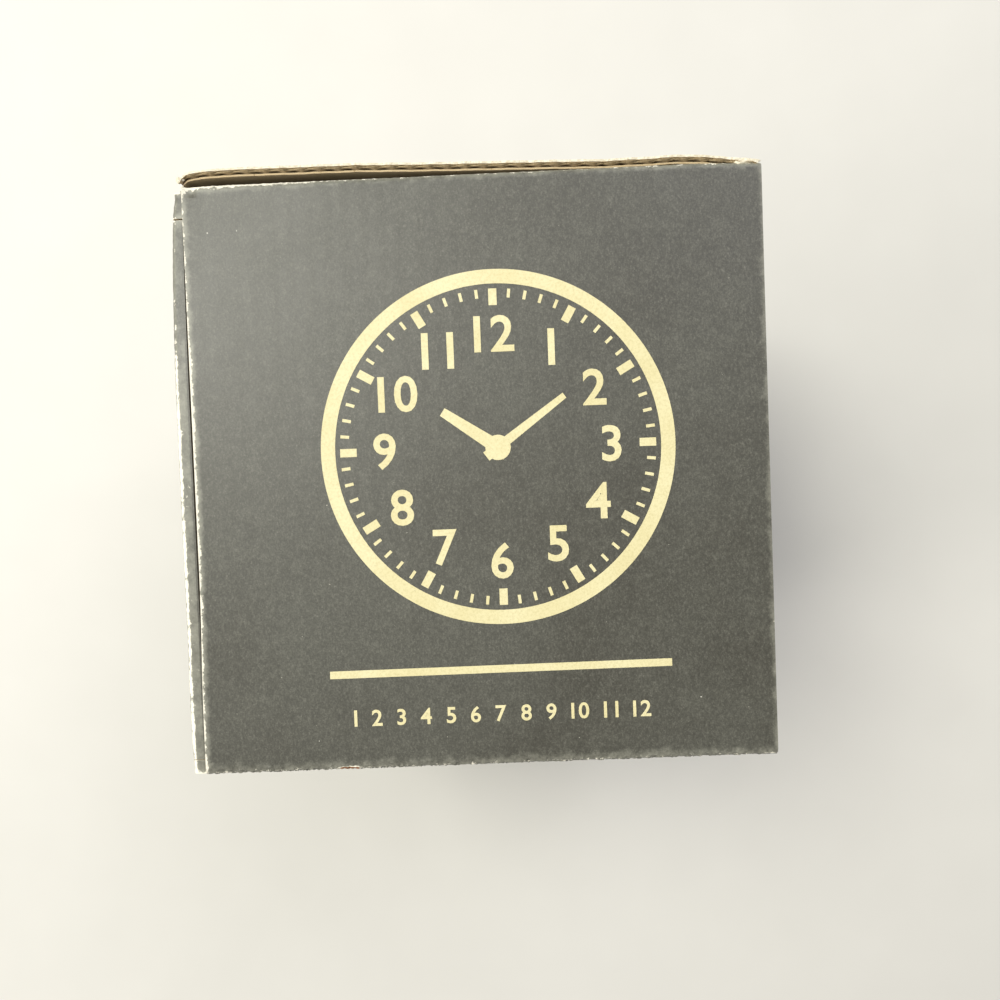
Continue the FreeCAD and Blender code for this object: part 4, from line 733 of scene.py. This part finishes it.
# %% The flaps
def flap(name, corner, away, inward, axis, reach, length, low, high, tapers, body, replaced, round_end=4.0,
         field=False, bow=None):
    """A flap that starts beyond its crease and narrows to its end by its two tapers, with round corners."""
    s = np.concatenate([np.linspace(reach, length - round_end, 16),
                        length - round_end + round_end * np.sin(np.linspace(0, math.pi / 2, 9))[1:]])
    drawn = round_end - np.sqrt(np.maximum(round_end**2 - np.maximum(s - length + round_end, 0)**2, 0))

    def limits(t):
        return low + tapers[0] * t / length, high - tapers[1] * t / length

    def skin(t, w, depth):
        points = corner + away * t[..., None] + inward * depth[..., None] + axis * w[..., None]
        if bow:
            points[..., 1] += bow(w)
        return give_way(points) if field else points

    def edge(t, w):
        return nearest(w - limits(t)[0], limits(t)[1] - w, length - t, t)

    return make_piece(name, board_parts(skin, s, limits(s)[0] + drawn, limits(s)[1] - drawn, edge), body,
                      (replaced,))


flaps = [flap("tuck_flap_board", (0, LID_HIGH[1], LID_Z), DOWN, TUCK_INWARD, X, FOLD_REACH, 19.9,
              LID_LOW[0] + 2.5, LID_HIGH[0] - 2.5, (2.5, 2.5), "tuck", "lid_tuck_flap", 7.0, bow=tuck_bow)]
for side, x, inward in SIDES:
    flaps.append(flap(f"dust_flap_{side}_board", (x, 0, DUST_TOP), inward, -Z, Y, SIDE_REACH, 38.0,
                      DUST_LOW[1], DUST_HIGH[1], (17.0, 7.0), f"dust_{side}", f"dust_flap_{side}",
                      field=True))
print("flaps", triangles(*flaps))


# %% [markdown]
# ## Bottom flaps and inserts
# The four bottom flaps are flat boards, printed on their outer side. Each insert is a plate with a round
# hole for a wheel and legs folded down from it. The plate's sheets are grids of angle by radius, and the wavy
# one follows the same straight flutes, so the hole's cut edge shows them at a changing slant.

# %% The bottom flaps
SIDE_FLAP, SIDE_TAPER = 40.0, 6.0  # the bottom's side flaps: length, and narrowing on each side


def flat_parts(start, end, low, high, z, turned=False, taper=0.0):
    """A flat board lying with its print downwards: flutes along y, or along x where it is turned, between
    start and end. Its width shrinks by the taper on each side towards its end."""
    along = np.linspace(start, end, 12)
    drawn = taper * np.abs(along - start) / abs(end - start)

    def skin(s, w, depth):
        return np.stack([s, w, z + depth] if turned else [w, s, z + depth], -1)

    def edge(s, w):
        return nearest(w - low, high - w, np.abs(s - start), np.abs(end - s)) + 0.3

    return board_parts(skin, along, low + drawn, high - drawn, edge)


bottom = []
for name, node in (("bottom_outer_board", "bottom_outer_flap"), ("bottom_inner_board", "bottom_inner_flap")):
    low, high = corner_values(node)
    bottom.append(make_piece(name, flat_parts(low[1], high[1], low[0], high[0], low[2]), "carton", (node,)))
low, high = corner_values("bottom_side_flaps")
side_parts = []
for start, end in ((low[0], low[0] + SIDE_FLAP), (high[0], high[0] - SIDE_FLAP)):
    side_parts += flat_parts(start, end, low[1], high[1], low[2], True, SIDE_TAPER)
bottom.append(make_piece("bottom_side_boards", side_parts, "carton", ("bottom_side_flaps",)))
print("bottom", triangles(*bottom))

# %% The inserts
TYRE_LOW, TYRE_HIGH = corner_values("wheel_tyre_left")
SEAT = (TYRE_HIGH[0] - TYRE_LOW[0]) / 2 + 1.0  # the hole's radius, a clearance wider than the wheel
LEG_INSET = 9.0  # the upper insert's legs are this much narrower on each side


def plate_parts(middle_x, half_x, half_y, top):
    """The three sheets of a plate with a round hole. At each angle a the sheet runs from the hole's radius to
    the rectangle's side, at min(half_x / |cos a|, half_y / |sin a|)."""
    parts = []
    for near, thick, swing, skin in ((0.0, LINER, 0.0, KRAFT), (BOARD - LINER, LINER, 0.0, KRAFT),
                                     ((BOARD - MEDIUM) / 2, MEDIUM, SWING, FLUTE)):
        angle, share = np.meshgrid(np.linspace(0, 2 * math.pi, 721 if swing else 241),
                                   [0, .03, .12, .4, .7, .92, .98, 1], indexing="ij")
        outer = np.minimum(half_x / np.maximum(np.abs(np.cos(angle)), 1e-6),
                           half_y / np.maximum(np.abs(np.sin(angle)), 1e-6))
        radius = SEAT + (outer - SEAT) * share
        x, y = middle_x + radius * np.cos(angle), radius * np.sin(angle)
        z = top - near - flute_wave(y) * swing
        parts.append(slab(np.stack([x, y, z], -1), np.stack([x, y, z - thick], -1), skin,
                          nearest(radius - SEAT, outer - radius)))
    return parts


def leg_parts(corner, outward, axis, half_width, drop):
    """A leg folded down from a plate at a corner line, ending square at its foot."""
    skin, length = crease_skin(corner, outward, -Z, axis)
    end = length + drop - FOLD_REACH
    along = np.concatenate([np.linspace(0, length, 10), np.linspace(length, end, 5)[1:]])

    def edge(s, w):
        return nearest(half_width - np.abs(w), end - s)

    return board_parts(skin, along, -half_width, half_width, edge, steps=4, outside=KRAFT)


def insert(name, node, side_inset, ends):
    """An insert with legs left and right, and at its front and back ends too where it is a tray."""
    low, high = corner_values(node)
    x, half_x, half_y, top = (low[0] + high[0]) / 2, (high[0] - low[0]) / 2, high[1], high[2]
    parts = plate_parts(x, half_x - FOLD_REACH, half_y - (FOLD_REACH if ends else 0.0), top)
    for side in (-1, 1):
        parts += leg_parts((x + side * half_x, 0, top), side * X, Y, half_y - side_inset, top - low[2])
        if ends:
            parts += leg_parts((x, side * half_y, top), side * Y, X, half_x - side_inset, top - low[2])
    return make_piece(name, parts, "carton", (node,))


print("inserts", triangles(insert("insert_upper_board", "upper_insert", LEG_INSET, False),
                           insert("insert_lower_board", "lower_insert", BOARD, True)))


# %% [markdown]
# ## The print on the lid
# The dark ink leaves the board's own colour bare in a plain clock dial, a rule and a row of numbers. Each
# shape lies a hair above the ink and follows the lid's belly. Numbers come from the built-in font, turned
# into meshes and then scaled by their measured height.

# %% Helpers for the print
PRINT_RISE, HUB_RISE = 0.035, 0.07
DIAL = np.array([4.6, 3.0])  # the dial's centre on the lid


def on_dial(radius, angle):
    """A place at a distance from the dial's centre, at an angle in radians from the right, anticlockwise."""
    return DIAL + radius * np.array([math.cos(angle), math.sin(angle)])


def laid(points, rise=PRINT_RISE):
    """2-D points laid on the lid, a little above its ink."""
    return np.column_stack([points, lid_height(points[:, 0], points[:, 1]) + rise])


def ring_part(inner, outer, count=144, rise=PRINT_RISE):
    """A flat ring round the dial's centre: rows of radius by angle."""
    angle, radius = np.radians(np.linspace(0, 360, count + 1)), np.array([inner, outer])[:, None]
    points = DIAL + np.stack([radius * np.cos(angle), radius * np.sin(angle)], -1).reshape(-1, 2)
    near = np.arange(2 * (count + 1)).reshape(2, -1)
    return laid(points, rise), np.stack([near[0, :-1], near[1, :-1], near[1, 1:], near[0, 1:]], -1), 0, FAR


def bar_part(centre, half_length, half_width, angle, tip=1.0):
    """A flat bar about a centre, turned by an angle in radians, its far end narrowed to a share tip."""
    u = np.linspace(-half_length, half_length, max(int(half_length), 2) + 1)[:, None]
    v = np.interp(u, [-half_length, half_length], [half_width, half_width * tip])
    turn, side = np.array([[math.cos(angle), math.sin(angle)], [-math.sin(angle), math.cos(angle)]])
    points = np.concatenate([centre + u * turn + v * side, centre + u * turn - v * side])
    k = np.arange(len(u) - 1)
    return laid(points), np.stack([k, k + 1, k + 1 + len(u), k + len(u)], -1), 0, FAR


def dial_bars(degrees, radius, half_length, half_width, tip=1.0):
    """Bars round the dial that point away from its centre."""
    return [bar_part(on_dial(radius, a), half_length, half_width, a, tip) for a in np.radians(degrees)]


def number_shape(text, height):
    """A number's flat points round its own middle, height millimetres tall, and its faces."""
    curve = bpy.data.curves.new("number", "FONT")
    curve.body, curve.offset, curve.resolution_u = text, 0.018, 4
    holder = put("number", curve)
    mesh = holder.evaluated_get(bpy.context.evaluated_depsgraph_get()).to_mesh()
    points = np.zeros(len(mesh.vertices) * 3)
    mesh.vertices.foreach_get("co", points)
    points = points.reshape(-1, 3)[:, :2]
    mesh.calc_loop_triangles()
    faces = np.zeros(len(mesh.loop_triangles) * 3, int)
    mesh.loop_triangles.foreach_get("vertices", faces)
    low, high = points.min(0), points.max(0)
    bpy.data.objects.remove(holder)
    bpy.data.curves.remove(curve)
    return (points - (low + high) / 2) * height / (high[1] - low[1]), faces.reshape(-1, 3)


def number_part(shape, centre):
    """A number's shape laid on the lid round a place."""
    return laid(shape[0] + centre), shape[1], 0, FAR


def row_parts(texts, height, centre, width):
    """Numbers in a row of a given width, with the same gap between each two."""
    shapes = [number_shape(text, height) for text in texts]
    widths = [np.ptp(points[:, 0]) for points, _ in shapes]
    gap = (width - sum(widths)) / (len(texts) - 1)
    starts = centre[0] - width / 2 + np.cumsum([0.0] + [w + gap for w in widths[:-1]])
    return [number_part(shape, (start + w / 2, centre[1])) for shape, start, w in zip(shapes, starts, widths)]


print("the dial's 12 will stand at", on_dial(20.6, math.pi / 2).round(2))

# %% The printed shapes
HOURS = range(1, 13)
HOUR_HAND, MINUTE_HAND = 90 - 304.5, 90 - 54.0  # nine minutes past ten, in degrees from the right
PRINTS = {
    "dial_ring": [ring_part(29.6, 32.2)],
    "dial_ticks": dial_bars(range(0, 360, 30), 27.2, 1.5, 0.75)
    + dial_bars([d for d in range(0, 360, 6) if d % 30], 27.9, 0.8, 0.28),
    "dial_numbers": [number_part(number_shape(str(hour), 6.6), on_dial(20.6, math.radians(90 - 30 * hour)))
                     for hour in HOURS],
    "dial_hands": dial_bars([HOUR_HAND], 5.0, 7.0, 1.35, 0.6) + dial_bars([MINUTE_HAND], 6.3, 9.0, 0.95, 0.6),
    "dial_hub": [ring_part(0.001, 2.3, 40, HUB_RISE)],
    "print_rule": [bar_part(np.array([3.6, -37.4]), 31.3, 0.7, math.radians(0.2))],
    "print_number_row": row_parts([str(hour) for hour in HOURS], 3.0, (3.6, -45.6), 54.4)}
print("print", triangles(*[make_piece(name, parts, "lid", skins=[print_cream])
                           for name, parts in PRINTS.items()]))


# %% [markdown]
# ## Materials of the clock and the inserts
# The clock inside keeps its CAD shapes. Each gets the material it is really made of: moulded plastics,
# rubber, zinc-plated steel, sintered bronze and clear acrylic. One function makes them all from a table.

# %% Materials of the CAD pieces
def worn_solid(name, dark, base, light, smoothest, roughest, grain_mm, depth_mm, extra):
    """A moulded or machined material: two mottled colours, lighter wear on raised edges and a fine grain."""
    made, tree, where = new_material(name)
    patches = add(tree, "TexNoise", where, PER_MM / 14.0, 3.0)
    grain = add(tree, "TexNoise", where, PER_MM / grain_mm, 2.0, 0.5, 3.0)
    raised = add(tree, "MapRange", add(tree, "NewGeometry", output="Pointiness"), 0.52, 0.62, 0.0, 0.35)
    rubbed = add(tree, "Math", raised, add(tree, "MapRange", patches, 0.3, 0.6, 0.3), 0.0)
    body = layer(tree, colour(dark), patches, 0.35, 0.65, base)
    body = add(tree, "Mix", rubbed, body, colour(light))
    roughness = add(tree, "MapRange", grain, 0.3, 0.7, smoothest, roughest)
    close_material(tree, {"Base Color": body, "Roughness": roughness, **extra}, grain, depth_mm)
    return made


# Name, darker, usual and worn colour, roughness from and to, width and depth of the grain, further inputs,
# and the nodes. A star stands for left and right.
SOLIDS = [
    # Injection-moulded ABS with a spark-eroded texture: a silky warm white.
    ("moulded_abs_white", "d9d6ce", "e4e2dc", "f4f3ef", 0.42, 0.55, 0.25, 0.012, {},
     "housing_drum end_cap_* battery_door snooze_button"),
    # The same from a polished mould: a glossy teal.
    ("moulded_abs_polished_teal", "578f8c", "5f9e9a", "8ac0bb", 0.22, 0.34, 0.6, 0.004, {},
     "wheel_hub_* hub_cap_*"),
    # Injection-moulded thermoplastic rubber: black and dull, grey where it rubs.
    ("moulded_rubber_black", "1f1f22", "26262a", "4a4a4c", 0.62, 0.8, 0.3, 0.03, {}, "wheel_tyre_*"),
    # Injection-moulded ABS: black with a soft sheen.
    ("moulded_abs_black", "1b1b1d", "232325", "5a5a5c", 0.38, 0.5, 0.25, 0.01, {},
     "display_bezel time_button alarm_button hour_button minute_button alarm_switch sounder switch_bodies"),
    # Injection-moulded high-impact polystyrene: plain satin grey.
    ("moulded_polystyrene_grey", "aeada5", "b9b8b0", "d8d7d0", 0.45, 0.6, 0.3, 0.012, {},
     "inner_chassis battery_tray gear_plate_* display_backlight"),
    # Injection-moulded acetal: waxy, creamy white.
    ("moulded_acetal_natural", "dcd8ca", "e9e5d8", "f6f3ea", 0.3, 0.42, 0.4, 0.006, {},
     "first_gear_* second_gear_* output_gear_* motor_rotor_*"),
    # Glass-epoxy laminate under a solder mask: glossy green over a faint weave.
    ("glass_epoxy_solder_mask", "184a2a", "1f5a34", "b79a52", 0.3, 0.45, 0.7, 0.01, {},
     "circuit_board rear_switch_board"),
    # Drawn steel, barrel-polished and zinc-plated: bright, with a bluish haze.
    ("steel_drawn_zinc_plated", "9fa1a4", "b5b6b8", "dcdddf", 0.25, 0.42, 0.3, 0.006, {"Metallic": 1.0},
     "end_cap_screws second_gear_pins motor_left motor_right wheel_axle_* battery_contacts"),
    # Sintered oil-filled bronze: grainy and half dull.
    ("bronze_sintered", "96723f", "b18a55", "d8b67e", 0.4, 0.6, 0.2, 0.02, {"Metallic": 1.0}, "axle_bushes"),
    # Printed shrink film over a steel can: smooth, dark and glossy.
    ("printed_shrink_film", "2c2d31", "3a3b3f", "8f9094", 0.2, 0.3, 1.0, 0.004, {}, "battery_cells"),
    # Offset printing paper, folded: white and quite matt.
    ("offset_paper_folded", "e2dfd6", "eceae3", "faf9f5", 0.8, 0.9, 0.3, 0.01, {}, "instruction_leaflet"),
    # Clear cast acrylic, polished: almost unseen but for its reflections.
    ("acrylic_clear_moulded", "eaf0f1", "f3f6f7", "ffffff", 0.04, 0.1, 2.0, 0.001,
     {"Transmission Weight": 0.95, "IOR": 1.49}, "display_lens"),
    # Liquid crystal cell with a reflective polariser behind glass: a greenish grey mirror, blurred.
    ("liquid_crystal_cell", "8f998a", "9aa394", "c3cabd", 0.1, 0.16, 1.5, 0.001, {}, "display_glass")]
given = []
for *look, node_names in SOLIDS:
    skin = worn_solid(*look)
    for node_name in sorted({name.replace("*", side) for name in node_names.split()
                             for side in ("left", "right")}):
        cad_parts[node_name].data.materials.clear()
        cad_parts[node_name].data.materials.append(skin)
        given.append(node_name)
print("materials given to", len(given), "CAD nodes")


# %% [markdown]
# ## Floor, light and camera
# The box stands on a plain pale floor. A large soft light hangs to the back left, where it just glances off
# the varnish, so the lid darkens from that corner towards the front right. The camera looks almost straight
# down, close above the box, with a short lens.

# %% Floor
FLOOR = 1.5  # half its width in metres
floor_mesh = bpy.data.meshes.new("floor")
floor_mesh.from_pydata([(-FLOOR, -FLOOR, 0), (FLOOR, -FLOOR, 0), (FLOOR, FLOOR, 0), (-FLOOR, FLOOR, 0)], [],
                       [(0, 1, 2, 3)])
# Painted board: a pale, even grey with hardly any gloss.
floor_skin, tree, where = new_material("painted_floor_pale")
cloudy = add(tree, "TexNoise", where, PER_MM / 30.0)
close_material(tree, {"Base Color": add(tree, "Mix", cloudy, colour("c9c6c0"), colour("cfccc6")),
                      "Roughness": 0.7})
floor_mesh.materials.append(floor_skin)
put("floor", floor_mesh)
print("floor", 2 * FLOOR, "m wide")

# %% Light
# Square soft lights: place in metres, height that it is aimed at, width, watts and tint.
for name, place, aim, width, watts, tint in (
        ("key_light", (-0.53, 0.39, 1.2), 0.1, 0.68, 18.5, "fffff4"),
        ("back_light", (0.65, 0.85, 1.25), 0.1, 1.0, 12.0, "f8f9ff"),
        ("side_light", (-1.3, -0.25, 0.42), 0.12, 0.5, 12.0, "fffdf8")):
    lamp = bpy.data.lights.new(name, "AREA")
    lamp.shape, lamp.size, lamp.energy, lamp.color = "SQUARE", width, watts, colour(tint)[:3]
    holder = put(name, lamp)
    holder.location, holder.rotation_mode = place, "QUATERNION"
    holder.rotation_quaternion = (Vector((0, 0, aim)) - Vector(place)).to_track_quat("-Z", "Y")
    print(name, watts, "W from", place)
world = bpy.data.worlds.new("studio")
world.use_nodes = True
background = world.node_tree.nodes["Background"].inputs
background["Color"].default_value, background["Strength"].default_value = colour("e9eaec"), 0.3
bpy.context.scene.world = world

# %% Camera
CAMERA_PLACE = (5.11, -3.284, 278.271)  # in millimetres
CAMERA_TURN = np.radians([-1.3801, 0.1923, -2.1612])  # an axis, as long as the angle turned round it
camera_data = bpy.data.cameras.new("camera")
camera_data.lens, camera_data.sensor_width = 27.0, 36.0
camera_data.clip_start, camera_data.clip_end = 0.01, 10.0
camera = put("camera", camera_data)
camera_angle = float(np.linalg.norm(CAMERA_TURN))
camera.matrix_world = Matrix.Translation(Vector(CAMERA_PLACE) * MM) @ Matrix.Rotation(
    camera_angle, 4, Vector(CAMERA_TURN / camera_angle))
bpy.context.scene.camera = camera
bpy.context.scene.view_settings.view_transform = "Standard"
print("camera at", [round(v, 4) for v in camera.matrix_world.translation])
